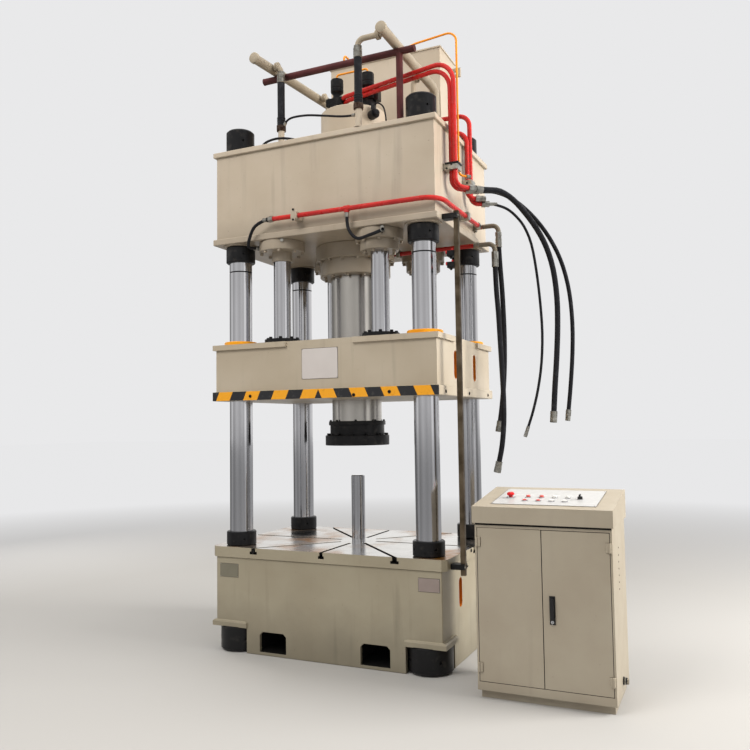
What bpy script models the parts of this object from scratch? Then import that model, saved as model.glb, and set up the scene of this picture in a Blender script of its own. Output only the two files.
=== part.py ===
"""Four-column hydraulic press with its hoses and control cabinet.

Metres, +Z up. The origin is the centre of the bed's base at floor level.
The press faces -Y, and the cabinet stands in front of its right side (+X).
"""
import math

import bmesh
import bpy
from mathutils import Matrix, Vector

# Driving dimensions of the press, in metres.
COLUMN_X = 0.700            # half the distance between column axes, left to right
COLUMN_Y = 0.435            # half the distance between column axes, front to back
COLUMN_RADIUS = 0.080
BED_HEIGHT = 0.634
TABLE_THICKNESS = 0.071
DAYLIGHT = 1.000            # from the table top up to the underside of the slide
SLIDE_HEIGHT = 0.390
SLIDE_TO_CROWN = 0.713
CROWN_HEIGHT = 0.669

# Strokes, from the position shown.
SLIDE_UP = 0.26
RAM_UP = 0.13
EJECTOR_DOWN = 0.46

# Clearances that every fit is worked out from.
GAP = 0.0003                # between faces that touch
RUNNING_GAP = 0.0003        # round anything that slides or turns
OVERRUN = 0.02              # how far a cut runs past the face that it opens
BITE = 0.004                # how far joined pieces run into each other
EDGE = 0.004                # chamfer on welded plates

ROUND_SIDES = 16
ROD_SIDES = 12
RAM_SIDES = 24
PIPE_SIDES = 8
SLOT_END_STEPS = 4
BEND_STEPS = 3

# Levels that follow from the driving dimensions.
TABLE_TOP = BED_HEIGHT + TABLE_THICKNESS
SLIDE_BOTTOM = TABLE_TOP + DAYLIGHT
SLIDE_TOP = SLIDE_BOTTOM + SLIDE_HEIGHT
CROWN_BOTTOM = SLIDE_TOP + SLIDE_TO_CROWN
CROWN_TOP = CROWN_BOTTOM + CROWN_HEIGHT

CORNERS = {"front_left": (-1, -1), "front_right": (1, -1), "rear_left": (-1, 1), "rear_right": (1, 1)}
LEFT_AND_RIGHT = {"left": -1, "right": 1}
DOWN = (0, 0, -1)


# Materials

PAINT = (0.46, 0.40, 0.30)
STEEL = (0.55, 0.55, 0.54)
CHROME = (0.80, 0.80, 0.82)
BLACK = (0.014, 0.014, 0.016)
RUBBER = (0.012, 0.012, 0.013)
RED_PAINT = (0.60, 0.022, 0.018)
YELLOW_PAINT = (0.83, 0.30, 0.01)
MAROON = (0.08, 0.018, 0.018)


def material(name, colour, roughness, metallic):
    made = bpy.data.materials.new(name)
    made.use_nodes = True
    shader = made.node_tree.nodes["Principled BSDF"]
    shader.inputs["Base Color"].default_value = (*colour, 1.0)
    shader.inputs["Roughness"].default_value = roughness
    shader.inputs["Metallic"].default_value = metallic
    return made


# Modelling helpers

def clear_scene():
    for old in list(bpy.data.objects):
        bpy.data.objects.remove(old, do_unlink=True)


def block(low, high, chamfer=0.0):
    """A rectangular solid between two corners, with its edges chamfered if asked."""
    bm = bmesh.new()
    bmesh.ops.create_cube(bm, size=1)
    low, high = Vector(low), Vector(high)
    size = high - low
    bmesh.ops.transform(bm, matrix=Matrix.Diagonal((*size, 1)), verts=bm.verts)
    bmesh.ops.translate(bm, vec=(low + high) / 2, verts=bm.verts)
    if chamfer:
        bmesh.ops.bevel(bm, geom=bm.edges[:], offset=chamfer, segments=1, affect='EDGES')
    return bm


def extruded(outline, bottom, top):
    """An upright prism on a plan outline of (x, y) points."""
    bm = bmesh.new()
    base = bm.faces.new([bm.verts.new((x, y, bottom)) for x, y in outline])
    grown = bmesh.ops.extrude_face_region(bm, geom=[base])
    upper = [item for item in grown["geom"] if isinstance(item, bmesh.types.BMVert)]
    bmesh.ops.translate(bm, vec=(0, 0, top - bottom), verts=upper)
    bmesh.ops.recalc_face_normals(bm, faces=bm.faces)
    return bm


def turned(profile, sides, centre=(0, 0), ring=False):
    """A solid of revolution about an upright axis, from (radius, height) points.

    An open profile starts and ends on the axis. A ring's profile is a closed loop.
    """
    bm = bmesh.new()
    verts = [bm.verts.new((radius, 0, height)) for radius, height in profile]
    edges = [bm.edges.new(pair) for pair in zip(verts, verts[1:])]
    if ring:
        edges.append(bm.edges.new((verts[-1], verts[0])))
    bmesh.ops.spin(bm, geom=verts + edges, cent=(0, 0, 0), axis=(0, 0, 1),
                   angle=math.tau, steps=sides, use_merge=True)
    bmesh.ops.remove_doubles(bm, verts=bm.verts, dist=GAP / 10)
    bmesh.ops.recalc_face_normals(bm, faces=bm.faces)
    bmesh.ops.translate(bm, vec=(*centre, 0), verts=bm.verts)
    return bm


def rod(start, end, radius, sides=PIPE_SIDES):
    """A straight round bar between two points."""
    start, end = Vector(start), Vector(end)
    along = end - start
    bm = bmesh.new()
    bmesh.ops.create_cone(bm, cap_ends=True, segments=sides, radius1=radius, radius2=radius,
                          depth=along.length)
    turn = along.to_track_quat('Z', 'Y').to_matrix().to_4x4()
    bmesh.ops.transform(bm, matrix=Matrix.Translation((start + end) / 2) @ turn, verts=bm.verts)
    return bm


def rounded_route(corners, bend_radius):
    """The corners of a pipe run with each inner corner turned into an arc."""
    corners = [Vector(corner) for corner in corners]
    route = [corners[0]]
    for before, corner, after in zip(corners, corners[1:], corners[2:]):
        arriving = (before - corner).normalized()
        leaving = (after - corner).normalized()
        half_angle = arriving.angle(leaving) / 2
        if half_angle > math.radians(88):
            route.append(corner)
            continue
        setback = bend_radius / math.tan(half_angle)
        hub = corner + (arriving + leaving).normalized() * (bend_radius / math.sin(half_angle))
        first = (corner + arriving * setback - hub).normalized()
        last = (corner + leaving * setback - hub).normalized()
        for step in range(BEND_STEPS + 1):
            route.append(hub + first.slerp(last, step / BEND_STEPS) * bend_radius)
    route.append(corners[-1])
    return route


def tube_mesh(route, radius):
    """A bent round bar: a poly curve with a bevel and filled caps, taken as a mesh."""
    curve = bpy.data.curves.new("run", 'CURVE')
    curve.dimensions = '3D'
    curve.bevel_depth = radius
    curve.bevel_resolution = PIPE_SIDES // 4
    curve.use_fill_caps = True
    spline = curve.splines.new('POLY')
    spline.points.add(len(route) - 1)
    for point, place in zip(spline.points, route):
        point.co = (*place, 1)
    run = bpy.data.objects.new("run", curve)
    bpy.context.collection.objects.link(run)
    bpy.context.view_layer.update()
    evaluated = run.evaluated_get(bpy.context.evaluated_depsgraph_get())
    bm = bmesh.new()
    bm.from_mesh(evaluated.to_mesh())
    evaluated.to_mesh_clear()
    bpy.data.objects.remove(run)
    bpy.data.curves.remove(curve)
    bmesh.ops.remove_doubles(bm, verts=bm.verts, dist=GAP / 10)
    bmesh.ops.recalc_face_normals(bm, faces=bm.faces)
    return bm


def solid(name, bm, finish):
    """Turns worked geometry into a named object with its material."""
    mesh = bpy.data.meshes.new(name)
    bm.to_mesh(mesh)
    bm.free()
    made = bpy.data.objects.new(name, mesh)
    bpy.context.collection.objects.link(made)
    mesh.materials.append(finish)
    return made


def combine(target, pieces, operation):
    """Joins pieces to the target or cuts them out of it, one after the other."""
    for bm in pieces:
        tool = solid("tool", bm, target.data.materials[0])
        change = target.modifiers.new("change", 'BOOLEAN')
        change.operation = operation
        change.solver = 'EXACT'
        change.object = tool
        with bpy.context.temp_override(object=target, active_object=target):
            bpy.ops.object.modifier_apply(modifier=change.name)
        spent = tool.data
        bpy.data.objects.remove(tool)
        bpy.data.meshes.remove(spent)


def join(target, *pieces):
    combine(target, pieces, 'UNION')


def cut(target, *pieces):
    combine(target, pieces, 'DIFFERENCE')


def smooth_rounds(target):
    target.data.shade_smooth()
    target.data.set_sharp_from_angle(angle=math.radians(35))


def set_origin(target, origin):
    """Moves the object's origin to a point on its joint's axis, leaving the shape in place."""
    target.data.transform(Matrix.Translation(-Vector(origin)))
    target.location = origin


def carry(parent, *children):
    """Makes the children move with their parent, leaving them in place."""
    bpy.context.view_layer.update()
    for child in children:
        child.parent = parent
        child.matrix_parent_inverse = parent.matrix_world.inverted()


def place_of(corner):
    """The plan position of a column."""
    side, depth = corner
    return side * COLUMN_X, depth * COLUMN_Y


# Bed: a welded box on a base plate, with a notch for the foot nut at each corner

BED_MARGIN_X = 0.125        # from a column axis out to the side wall
BED_MARGIN_Y = 0.120        # from a column axis out to the front or back wall
BED_WALL = 0.025
BED_FLOOR = 0.022
NUT_RADIUS = 0.142
NUT_HEIGHT = 0.162
NOTCH_CLEARANCE = 0.007     # round a foot nut
NOTCH_HEIGHT = 0.170
SPOT_FACE = 0.002           # depth of the turned seat for the nut in the notch's roof
NOTCH_REACH_X = 0.120       # from a column axis in to the notch's flat sides
NOTCH_REACH_Y = 0.096
LEDGE_THICKNESS = 0.040
LEDGE_PROUD = 0.026
SLEEVE_RADIUS = 0.112       # tube that the column passes through above the ledge
WINDOW_NEAR = 0.272         # from the centre to a window's nearer side
WINDOW_WIDTH = 0.205
WINDOW_HEIGHT = 0.132
WINDOW_CORNER = 0.022
RIBS_X = (0.205, 0.500)     # from the centre to the cross ribs on each side
HAND_SLOT_Y = 0.205         # from the centre to a hand slot in a side wall
HAND_SLOT_WIDTH = 0.062
HAND_SLOT_HEIGHT = 0.190
HAND_SLOT_BASE = 0.350
HAND_SLOT_DEPTH = 0.120

BED_X = COLUMN_X + BED_MARGIN_X
BED_Y = COLUMN_Y + BED_MARGIN_Y
NOTCH_RADIUS = NUT_RADIUS + NOTCH_CLEARANCE
BORE_RADIUS = COLUMN_RADIUS + GAP


def upright_bore(centre, radius, bottom, top, sides=ROUND_SIDES):
    profile = [(0, bottom - OVERRUN), (radius, bottom - OVERRUN), (radius, top + OVERRUN),
               (0, top + OVERRUN)]
    return turned(profile, sides, centre)


def hand_slot(side, y, face_x, base, depth):
    """A round-ended slot cut into a side wall."""
    radius = HAND_SLOT_WIDTH / 2
    inner, outer = side * (face_x - depth), side * (face_x + OVERRUN)
    low, high = base + radius, base + HAND_SLOT_HEIGHT - radius
    outline = []
    for first, level in ((0, high), (math.pi, low)):
        for step in range(SLOT_END_STEPS + 1):
            angle = first + math.pi * step / SLOT_END_STEPS
            outline.append((y + radius * math.cos(angle), level + radius * math.sin(angle)))
    return side_prism(outline, min(inner, outer), max(inner, outer))


def side_prism(outline, left, right):
    """A prism along X on an outline of (y, z) points."""
    bm = extruded([(y, z) for y, z in outline], left, right)
    to_side = Matrix(((0, 0, 1, 0), (1, 0, 0, 0), (0, 1, 0, 0), (0, 0, 0, 1)))
    bmesh.ops.transform(bm, matrix=to_side, verts=bm.verts)
    return bm


def window(side):
    """A window through the front and back walls, with rounded top corners."""
    near, far = side * WINDOW_NEAR, side * (WINDOW_NEAR + WINDOW_WIDTH)
    left, right = min(near, far), max(near, far)
    top = BED_FLOOR + WINDOW_HEIGHT
    outline = [(left, BED_FLOOR), (right, BED_FLOOR), (right, top - WINDOW_CORNER),
               (right - WINDOW_CORNER, top), (left + WINDOW_CORNER, top), (left, top - WINDOW_CORNER)]
    bm = extruded(outline, -BED_Y - OVERRUN, BED_Y + OVERRUN)
    to_front = Matrix(((1, 0, 0, 0), (0, 0, 1, 0), (0, 1, 0, 0), (0, 0, 0, 1)))
    bmesh.ops.transform(bm, matrix=to_front, verts=bm.verts)
    bmesh.ops.recalc_face_normals(bm, faces=bm.faces)
    return bm


def corner_block(corner, inner_x, inner_y, outer_x, outer_y, bottom, top):
    """A block in one corner of the plan, between inner and outer distances from the centre."""
    side, depth = corner
    xs = sorted((side * inner_x, side * outer_x))
    ys = sorted((depth * inner_y, depth * outer_y))
    return block((xs[0], ys[0], bottom), (xs[1], ys[1], top))


def make_bed(paint):
    bed = solid("bed_frame", block((-BED_X, -BED_Y, 0), (BED_X, BED_Y, BED_HEIGHT), EDGE), paint)
    inside_x, inside_y = BED_X - BED_WALL, BED_Y - BED_WALL
    cut(bed, block((-inside_x, -inside_y, BED_FLOOR), (inside_x, inside_y, BED_HEIGHT + OVERRUN)))
    for corner in CORNERS.values():
        place = place_of(corner)
        housing = NOTCH_RADIUS + BED_WALL
        join(bed, corner_block(corner, COLUMN_X - housing, COLUMN_Y - housing, BED_X - BED_WALL / 2,
                               BED_Y - BED_WALL / 2, BED_FLOOR / 2, NOTCH_HEIGHT + LEDGE_THICKNESS))
        sleeve = [(0, NOTCH_HEIGHT + BITE), (SLEEVE_RADIUS, NOTCH_HEIGHT + BITE),
                  (SLEEVE_RADIUS, BED_HEIGHT), (0, BED_HEIGHT)]
        join(bed, turned(sleeve, ROUND_SIDES, place))
        join(bed, corner_block(corner, COLUMN_X - NOTCH_REACH_X - BITE, COLUMN_Y - NOTCH_REACH_Y - BITE,
                               BED_X + LEDGE_PROUD, BED_Y + LEDGE_PROUD / 2,
                               NOTCH_HEIGHT - BITE, NOTCH_HEIGHT + LEDGE_THICKNESS - BITE))
    for side in LEFT_AND_RIGHT.values():
        for rib in RIBS_X:
            xs = sorted((side * rib, side * (rib + BED_WALL)))
            join(bed, block((xs[0], -inside_y - BITE, BED_FLOOR - BITE),
                            (xs[1], inside_y + BITE, BED_HEIGHT - BITE)))
    for corner in CORNERS.values():
        place = place_of(corner)
        cut(bed, corner_block(corner, COLUMN_X - NOTCH_REACH_X, COLUMN_Y - NOTCH_REACH_Y,
                              BED_X + LEDGE_PROUD + OVERRUN, BED_Y + LEDGE_PROUD + OVERRUN,
                              -OVERRUN, NOTCH_HEIGHT - SPOT_FACE))
        nut_room = [(0, -OVERRUN), (NOTCH_RADIUS, -OVERRUN), (NOTCH_RADIUS, NOTCH_HEIGHT),
                    (BORE_RADIUS, NOTCH_HEIGHT), (BORE_RADIUS, BED_HEIGHT + OVERRUN),
                    (0, BED_HEIGHT + OVERRUN)]
        cut(bed, turned(nut_room, ROUND_SIDES, place))
        side, depth = corner
        cut(bed, hand_slot(side, depth * HAND_SLOT_Y, BED_X, HAND_SLOT_BASE, BED_WALL + OVERRUN))
    for side in LEFT_AND_RIGHT.values():
        cut(bed, window(side))
    return bed


# Table plate with T-slots in a star of eight

TABLE_MARGIN_X = 0.157
TABLE_MARGIN_Y = 0.130
TABLE_CORNER = 0.030
SLOT_WIDTH = 0.024
SLOT_HEAD_WIDTH = 0.042
SLOT_HEAD_HEIGHT = 0.018
SLOT_DEPTH = 0.042
SLOT_START = 0.135          # from the centre to where the slots begin
DIAGONAL_END = 0.520        # where a diagonal slot leaves the front edge, from the centre
EJECTOR_RADIUS = 0.048

TABLE_X = COLUMN_X + TABLE_MARGIN_X
TABLE_Y = COLUMN_Y + TABLE_MARGIN_Y


def t_slot(direction, reach):
    """A T-slot cutter that runs from near the centre out past the table's edge."""
    floor = TABLE_TOP - SLOT_DEPTH
    shoulder = floor + SLOT_HEAD_HEIGHT
    half, head = SLOT_WIDTH / 2, SLOT_HEAD_WIDTH / 2
    outline = [(-head, floor), (head, floor), (head, shoulder), (half, shoulder),
               (half, TABLE_TOP + OVERRUN), (-half, TABLE_TOP + OVERRUN), (-half, shoulder),
               (-head, shoulder)]
    bm = side_prism(outline, SLOT_START, reach + OVERRUN)
    bmesh.ops.rotate(bm, cent=(0, 0, 0), matrix=Matrix.Rotation(direction, 3, 'Z'), verts=bm.verts)
    return bm


def make_table(steel):
    x, y, nip = TABLE_X, TABLE_Y, TABLE_CORNER
    outline = [(-x + nip, -y), (x - nip, -y), (x, -y + nip), (x, y - nip),
               (x - nip, y), (-x + nip, y), (-x, y - nip), (-x, -y + nip)]
    table = solid("table_plate", extruded(outline, BED_HEIGHT + GAP, TABLE_TOP), steel)
    diagonal = math.atan2(TABLE_Y, DIAGONAL_END)
    diagonal_reach = math.hypot(TABLE_Y, DIAGONAL_END) + SLOT_HEAD_WIDTH
    for direction, reach in ((0, TABLE_X), (math.pi / 2, TABLE_Y)):
        cut(table, t_slot(direction, reach), t_slot(direction + math.pi, reach))
    for direction in (diagonal, math.pi - diagonal, math.pi + diagonal, -diagonal):
        cut(table, t_slot(direction, diagonal_reach))
    for corner in CORNERS.values():
        cut(table, upright_bore(place_of(corner), BORE_RADIUS, BED_HEIGHT, TABLE_TOP))
    cut(table, upright_bore((0, 0), EJECTOR_RADIUS + RUNNING_GAP, BED_HEIGHT, TABLE_TOP))
    return table


# Columns, each with its foot nut and its two locking collars, and the nuts on top

COLLAR_RADIUS = 0.102
COLLAR_HEIGHT = 0.096
CROWN_COLLAR_HEIGHT = 0.112
COLLAR_EDGE = 0.006
BOSS_RADIUS = 0.122         # ring welded under the crown round each column
BOSS_HEIGHT = 0.008
TOP_NUT_RADIUS = 0.100
TOP_NUT_HEIGHT = 0.170
TOP_NUT_EDGE = 0.012
COLUMN_END_DROP = 0.006     # the column's end lies this far below the top of its nut

FOOT_NUT_TOP = NOTCH_HEIGHT - GAP
FOOT_NUT_BOTTOM = NOTCH_HEIGHT - NUT_HEIGHT
COLUMN_TOP = CROWN_TOP + TOP_NUT_HEIGHT - COLUMN_END_DROP


def make_column(name, corner, chrome):
    r, collar, lip = COLUMN_RADIUS, COLLAR_RADIUS, COLLAR_EDGE
    low, high = TABLE_TOP + GAP, CROWN_BOTTOM - BOSS_HEIGHT - GAP
    collar_top, collar_bottom = low + COLLAR_HEIGHT, high - CROWN_COLLAR_HEIGHT
    profile = [(0, FOOT_NUT_BOTTOM), (NUT_RADIUS, FOOT_NUT_BOTTOM), (NUT_RADIUS, FOOT_NUT_TOP),
               (r, FOOT_NUT_TOP), (r, low), (collar, low), (collar, collar_top - lip),
               (collar - lip, collar_top), (r, collar_top), (r, collar_bottom),
               (collar - lip, collar_bottom), (collar, collar_bottom + lip), (collar, high),
               (r, high), (r, COLUMN_TOP), (0, COLUMN_TOP)]
    return solid(name, turned(profile, ROUND_SIDES, place_of(corner)), chrome)


def make_top_nut(name, corner, black):
    inner, outer, lip = BORE_RADIUS, TOP_NUT_RADIUS, TOP_NUT_EDGE
    bottom, top = CROWN_TOP + GAP, CROWN_TOP + TOP_NUT_HEIGHT
    profile = [(inner, bottom), (outer, bottom), (outer, top - lip), (outer - lip, top), (inner, top)]
    return solid(name, turned(profile, ROUND_SIDES, place_of(corner), ring=True), black)


# Crown: a welded box between two plates, with a shelf at the back for the oil tank

CROWN_PLATE_MARGIN_X = 0.145
CROWN_PLATE_MARGIN_Y = 0.132
CROWN_WALL_INSET = 0.020    # from a plate's edge in to the wall
CROWN_BOTTOM_PLATE = 0.042
CROWN_TOP_PLATE = 0.036
NECK_RADIUS = 0.215         # main cylinder where it passes through the crown
SIDE_NECK_RADIUS = 0.105    # side cylinder where it passes through the crown
SIDE_CYLINDER_X = 0.376
SIDE_CYLINDER_Y = 0.400
SHELF_THICKNESS = 0.030
GUSSET_THICKNESS = 0.020
GUSSET_DROP = 0.240

CROWN_X = COLUMN_X + CROWN_PLATE_MARGIN_X
CROWN_Y = COLUMN_Y + CROWN_PLATE_MARGIN_Y
CROWN_WALL_X = CROWN_X - CROWN_WALL_INSET
CROWN_WALL_Y = CROWN_Y - CROWN_WALL_INSET

# Oil tank

TANK_LEFT = -0.430
TANK_WIDTH = 0.948
TANK_FRONT_INSET = 0.097    # from the crown's back edge forward to the tank's front
TANK_DEPTH = 0.350
TANK_HEIGHT = 0.960
TANK_LID = 0.012
TANK_LID_PROUD = 0.008
FILLER_RADIUS = 0.050
FILLER_HEIGHT = 0.045
LUG_THICKNESS = 0.016
LUG_SIZE = 0.075
LUG_HOLE_RADIUS = 0.014
LUG_DROP = 0.075

TANK_RIGHT = TANK_LEFT + TANK_WIDTH
TANK_FRONT = CROWN_Y - TANK_FRONT_INSET
TANK_BACK = TANK_FRONT + TANK_DEPTH
TANK_BOTTOM = CROWN_TOP + GAP


def side_cylinder_place(corner):
    side, depth = corner
    return side * SIDE_CYLINDER_X, depth * SIDE_CYLINDER_Y


def gusset(left):
    """A triangular plate under the tank shelf."""
    under = CROWN_TOP - SHELF_THICKNESS / 2
    outline = [(CROWN_WALL_Y - BITE, under - GUSSET_DROP), (TANK_BACK - BITE, under - BITE),
               (TANK_BACK - BITE, under), (CROWN_WALL_Y - BITE, under)]
    return side_prism(outline, left, left + GUSSET_THICKNESS)


def make_crown(paint):
    lower = CROWN_BOTTOM + CROWN_BOTTOM_PLATE
    upper = CROWN_TOP - CROWN_TOP_PLATE
    plate = block((-CROWN_X, -CROWN_Y, CROWN_BOTTOM), (CROWN_X, CROWN_Y, lower), EDGE)
    crown = solid("crown", plate, paint)
    join(crown,
         block((-CROWN_WALL_X, -CROWN_WALL_Y, CROWN_BOTTOM + EDGE),
               (CROWN_WALL_X, CROWN_WALL_Y, upper + BITE)),
         block((-CROWN_X, -CROWN_Y, upper), (CROWN_X, CROWN_Y, CROWN_TOP), EDGE),
         block((TANK_LEFT, CROWN_WALL_Y, CROWN_TOP - SHELF_THICKNESS),
               (TANK_RIGHT, TANK_BACK, CROWN_TOP)))
    span = TANK_WIDTH - GUSSET_THICKNESS - BITE * 2
    for step in range(3):
        join(crown, gusset(TANK_LEFT + BITE + span * step / 2))
    for corner in CORNERS.values():
        place = place_of(corner)
        boss = [(0, CROWN_BOTTOM - BOSS_HEIGHT), (BOSS_RADIUS, CROWN_BOTTOM - BOSS_HEIGHT),
                (BOSS_RADIUS, CROWN_BOTTOM + BITE), (0, CROWN_BOTTOM + BITE)]
        join(crown, turned(boss, ROUND_SIDES, place))
        cut(crown, upright_bore(place, BORE_RADIUS, CROWN_BOTTOM, CROWN_TOP))
        cut(crown, upright_bore(side_cylinder_place(corner), SIDE_NECK_RADIUS + GAP, CROWN_BOTTOM,
                                CROWN_TOP, ROD_SIDES))
    cut(crown, upright_bore((0, 0), NECK_RADIUS + GAP, CROWN_BOTTOM, CROWN_TOP, RAM_SIDES))
    return crown


def make_oil_tank(paint):
    top = TANK_BOTTOM + TANK_HEIGHT
    box = block((TANK_LEFT, TANK_FRONT, TANK_BOTTOM), (TANK_RIGHT, TANK_BACK, top - TANK_LID / 2), EDGE)
    tank = solid("oil_tank", box, paint)
    join(tank, block((TANK_LEFT - TANK_LID_PROUD, TANK_FRONT - TANK_LID_PROUD, top - TANK_LID),
                     (TANK_RIGHT + TANK_LID_PROUD, TANK_BACK + TANK_LID_PROUD, top)))
    middle = (TANK_FRONT + TANK_BACK) / 2
    filler = [(0, top - BITE), (FILLER_RADIUS, top - BITE), (FILLER_RADIUS, top + FILLER_HEIGHT - EDGE),
              (FILLER_RADIUS - EDGE, top + FILLER_HEIGHT), (0, top + FILLER_HEIGHT)]
    join(tank, turned(filler, ROD_SIDES, (TANK_LEFT + TANK_WIDTH / 4, middle)))
    lug_top = top - LUG_DROP
    lug_y = TANK_BACK - LUG_SIZE
    for side, face in ((-1, TANK_LEFT), (1, TANK_RIGHT)):
        xs = sorted((face - side * BITE, face + side * LUG_SIZE))
        join(tank, block((xs[0], lug_y - LUG_THICKNESS / 2, lug_top - LUG_SIZE),
                         (xs[1], lug_y + LUG_THICKNESS / 2, lug_top)))
        hole = Vector((face + side * LUG_SIZE / 2, lug_y, lug_top - LUG_SIZE / 2))
        across = Vector((0, LUG_THICKNESS, 0))
        cut(tank, rod(hole - across, hole + across, LUG_HOLE_RADIUS))
    return tank


# Main cylinder and ram

DRUM_RADIUS = 0.255
DRUM_DROP = 0.218           # from the crown's underside down to the drum's lower face
DRUM_FLANGE_RADIUS = 0.285
DRUM_FLANGE_HEIGHT = 0.108
GLAND_HEIGHT = 0.100
RAM_RADIUS = 0.178
MAIN_BORE_RADIUS = 0.187
CYLINDER_ABOVE_CROWN = 0.180
CYLINDER_CAP = 0.045
RAM_BELOW_SLIDE = 0.295     # how far the ram reaches below the slide
RAM_ROOM = 0.012            # left over at each end of the stroke
SOCKET_RADIUS = 0.075       # hollow in the ram's lower end that clears the ejector rod
SOCKET_DEPTH = 0.330
FLANGE_THICKNESS = 0.026    # of the ram flange's bottom plate
FLANGE_RADIUS = 0.229
FLANGE_HEIGHT = 0.070
HUB_RADIUS = 0.1945
HUB_HEIGHT = 0.072
LIP_RADIUS = 0.204
LIP_HEIGHT = 0.029
FEED_PIPE_RADIUS = 0.016
FEED_PIPE_Y = 0.130
FEED_PIPE_DROP = 0.042      # below the crown's underside
FEED_ELBOW_X = 1.010
FEED_ELBOW_DROP = 0.060
BEND_RADIUS = 0.045
FITTING_RADIUS = 0.024
FITTING_LENGTH = 0.050

FEED_ELBOW_END = CROWN_BOTTOM - FEED_PIPE_DROP - FEED_ELBOW_DROP - FITTING_LENGTH
DRUM_BOTTOM = CROWN_BOTTOM - DRUM_DROP
GLAND_TOP = DRUM_BOTTOM + GLAND_HEIGHT
RAM_BOTTOM = SLIDE_BOTTOM - RAM_BELOW_SLIDE
RAM_TOP = CROWN_TOP + CYLINDER_ABOVE_CROWN - CYLINDER_CAP - SLIDE_UP - RAM_UP - RAM_ROOM


def make_main_cylinder(paint):
    flange_bottom = CROWN_BOTTOM - GAP - DRUM_FLANGE_HEIGHT
    top = CROWN_TOP + CYLINDER_ABOVE_CROWN
    gland = RAM_RADIUS + RUNNING_GAP
    profile = [(0, top), (NECK_RADIUS, top), (NECK_RADIUS, CROWN_BOTTOM - GAP),
               (DRUM_FLANGE_RADIUS, CROWN_BOTTOM - GAP), (DRUM_FLANGE_RADIUS, flange_bottom),
               (DRUM_RADIUS, flange_bottom), (DRUM_RADIUS, DRUM_BOTTOM), (gland, DRUM_BOTTOM),
               (gland, GLAND_TOP), (MAIN_BORE_RADIUS, GLAND_TOP), (MAIN_BORE_RADIUS, top - CYLINDER_CAP),
               (0, top - CYLINDER_CAP)]
    cylinder = solid("main_cylinder", turned(profile, RAM_SIDES), paint)
    level = CROWN_BOTTOM - FEED_PIPE_DROP
    end = level - FEED_ELBOW_DROP
    feed = [(DRUM_RADIUS - BITE, FEED_PIPE_Y, level), (FEED_ELBOW_X, FEED_PIPE_Y, level),
            (FEED_ELBOW_X, FEED_PIPE_Y, end)]
    join(cylinder, tube_mesh(rounded_route(feed, BEND_RADIUS / 2), FEED_PIPE_RADIUS))
    join(cylinder, rod((FEED_ELBOW_X, FEED_PIPE_Y, end + BITE),
                       (FEED_ELBOW_X, FEED_PIPE_Y, FEED_ELBOW_END), FITTING_RADIUS))
    return cylinder


def make_ram(chrome):
    roof = RAM_BOTTOM + SOCKET_DEPTH
    profile = [(0, RAM_TOP), (RAM_RADIUS, RAM_TOP), (RAM_RADIUS, RAM_BOTTOM), (SOCKET_RADIUS, RAM_BOTTOM),
               (SOCKET_RADIUS, roof), (0, roof)]
    ram = solid("main_ram", turned(profile, RAM_SIDES), chrome)
    set_origin(ram, (0, 0, RAM_BOTTOM))
    return ram


def make_ram_flange(black):
    bottom = RAM_BOTTOM - FLANGE_THICKNESS
    shoulder = bottom + FLANGE_HEIGHT
    lip = shoulder + HUB_HEIGHT
    top = lip + LIP_HEIGHT
    inner, hole = RAM_RADIUS + GAP, SOCKET_RADIUS
    profile = [(hole, bottom), (FLANGE_RADIUS - EDGE, bottom), (FLANGE_RADIUS, bottom + EDGE),
               (FLANGE_RADIUS, shoulder), (HUB_RADIUS, shoulder), (HUB_RADIUS, lip), (LIP_RADIUS, lip),
               (LIP_RADIUS, top), (inner, top), (inner, RAM_BOTTOM - GAP), (hole, RAM_BOTTOM - GAP)]
    flange = solid("ram_flange", turned(profile, RAM_SIDES, ring=True), black)
    set_origin(flange, (0, 0, RAM_BOTTOM))
    return flange


# Side cylinders and the rods that lift the slide

SIDE_ROD_RADIUS = 0.061
SIDE_BORE_RADIUS = 0.085
SIDE_FLANGE_RADIUS = 0.160
SIDE_FLANGE_HEIGHT = 0.070
SIDE_GLAND_RADIUS_LEFT = 0.072
SIDE_GLAND_RADIUS_RIGHT = 0.128
SIDE_GLAND_HEIGHT = 0.066
SIDE_GLAND_INSIDE = 0.008   # how far the gland's bore runs up past its own flange
SIDE_CAP = 0.022
PISTON_HEIGHT = 0.060
ROD_FLANGE_RADIUS = 0.125
ROD_FLANGE_HEIGHT = 0.032
PISTON_ROOM = 0.012

PISTON_TOP = CROWN_TOP - SIDE_CAP - SLIDE_UP - PISTON_ROOM


def make_side_cylinder(name, corner, paint):
    side, _ = corner
    gland = SIDE_GLAND_RADIUS_LEFT if side < 0 else SIDE_GLAND_RADIUS_RIGHT
    flange_top = CROWN_BOTTOM - GAP
    flange_bottom = flange_top - SIDE_FLANGE_HEIGHT
    bottom = flange_bottom - SIDE_GLAND_HEIGHT
    bore = SIDE_ROD_RADIUS + RUNNING_GAP
    profile = [(0, CROWN_TOP), (SIDE_NECK_RADIUS, CROWN_TOP), (SIDE_NECK_RADIUS, flange_top),
               (SIDE_FLANGE_RADIUS, flange_top), (SIDE_FLANGE_RADIUS, flange_bottom),
               (gland, flange_bottom), (gland, bottom), (bore, bottom),
               (bore, flange_bottom + SIDE_GLAND_INSIDE),
               (SIDE_BORE_RADIUS, flange_bottom + SIDE_GLAND_INSIDE),
               (SIDE_BORE_RADIUS, CROWN_TOP - SIDE_CAP), (0, CROWN_TOP - SIDE_CAP)]
    return solid(name, turned(profile, ROD_SIDES, side_cylinder_place(corner)), paint)


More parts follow.
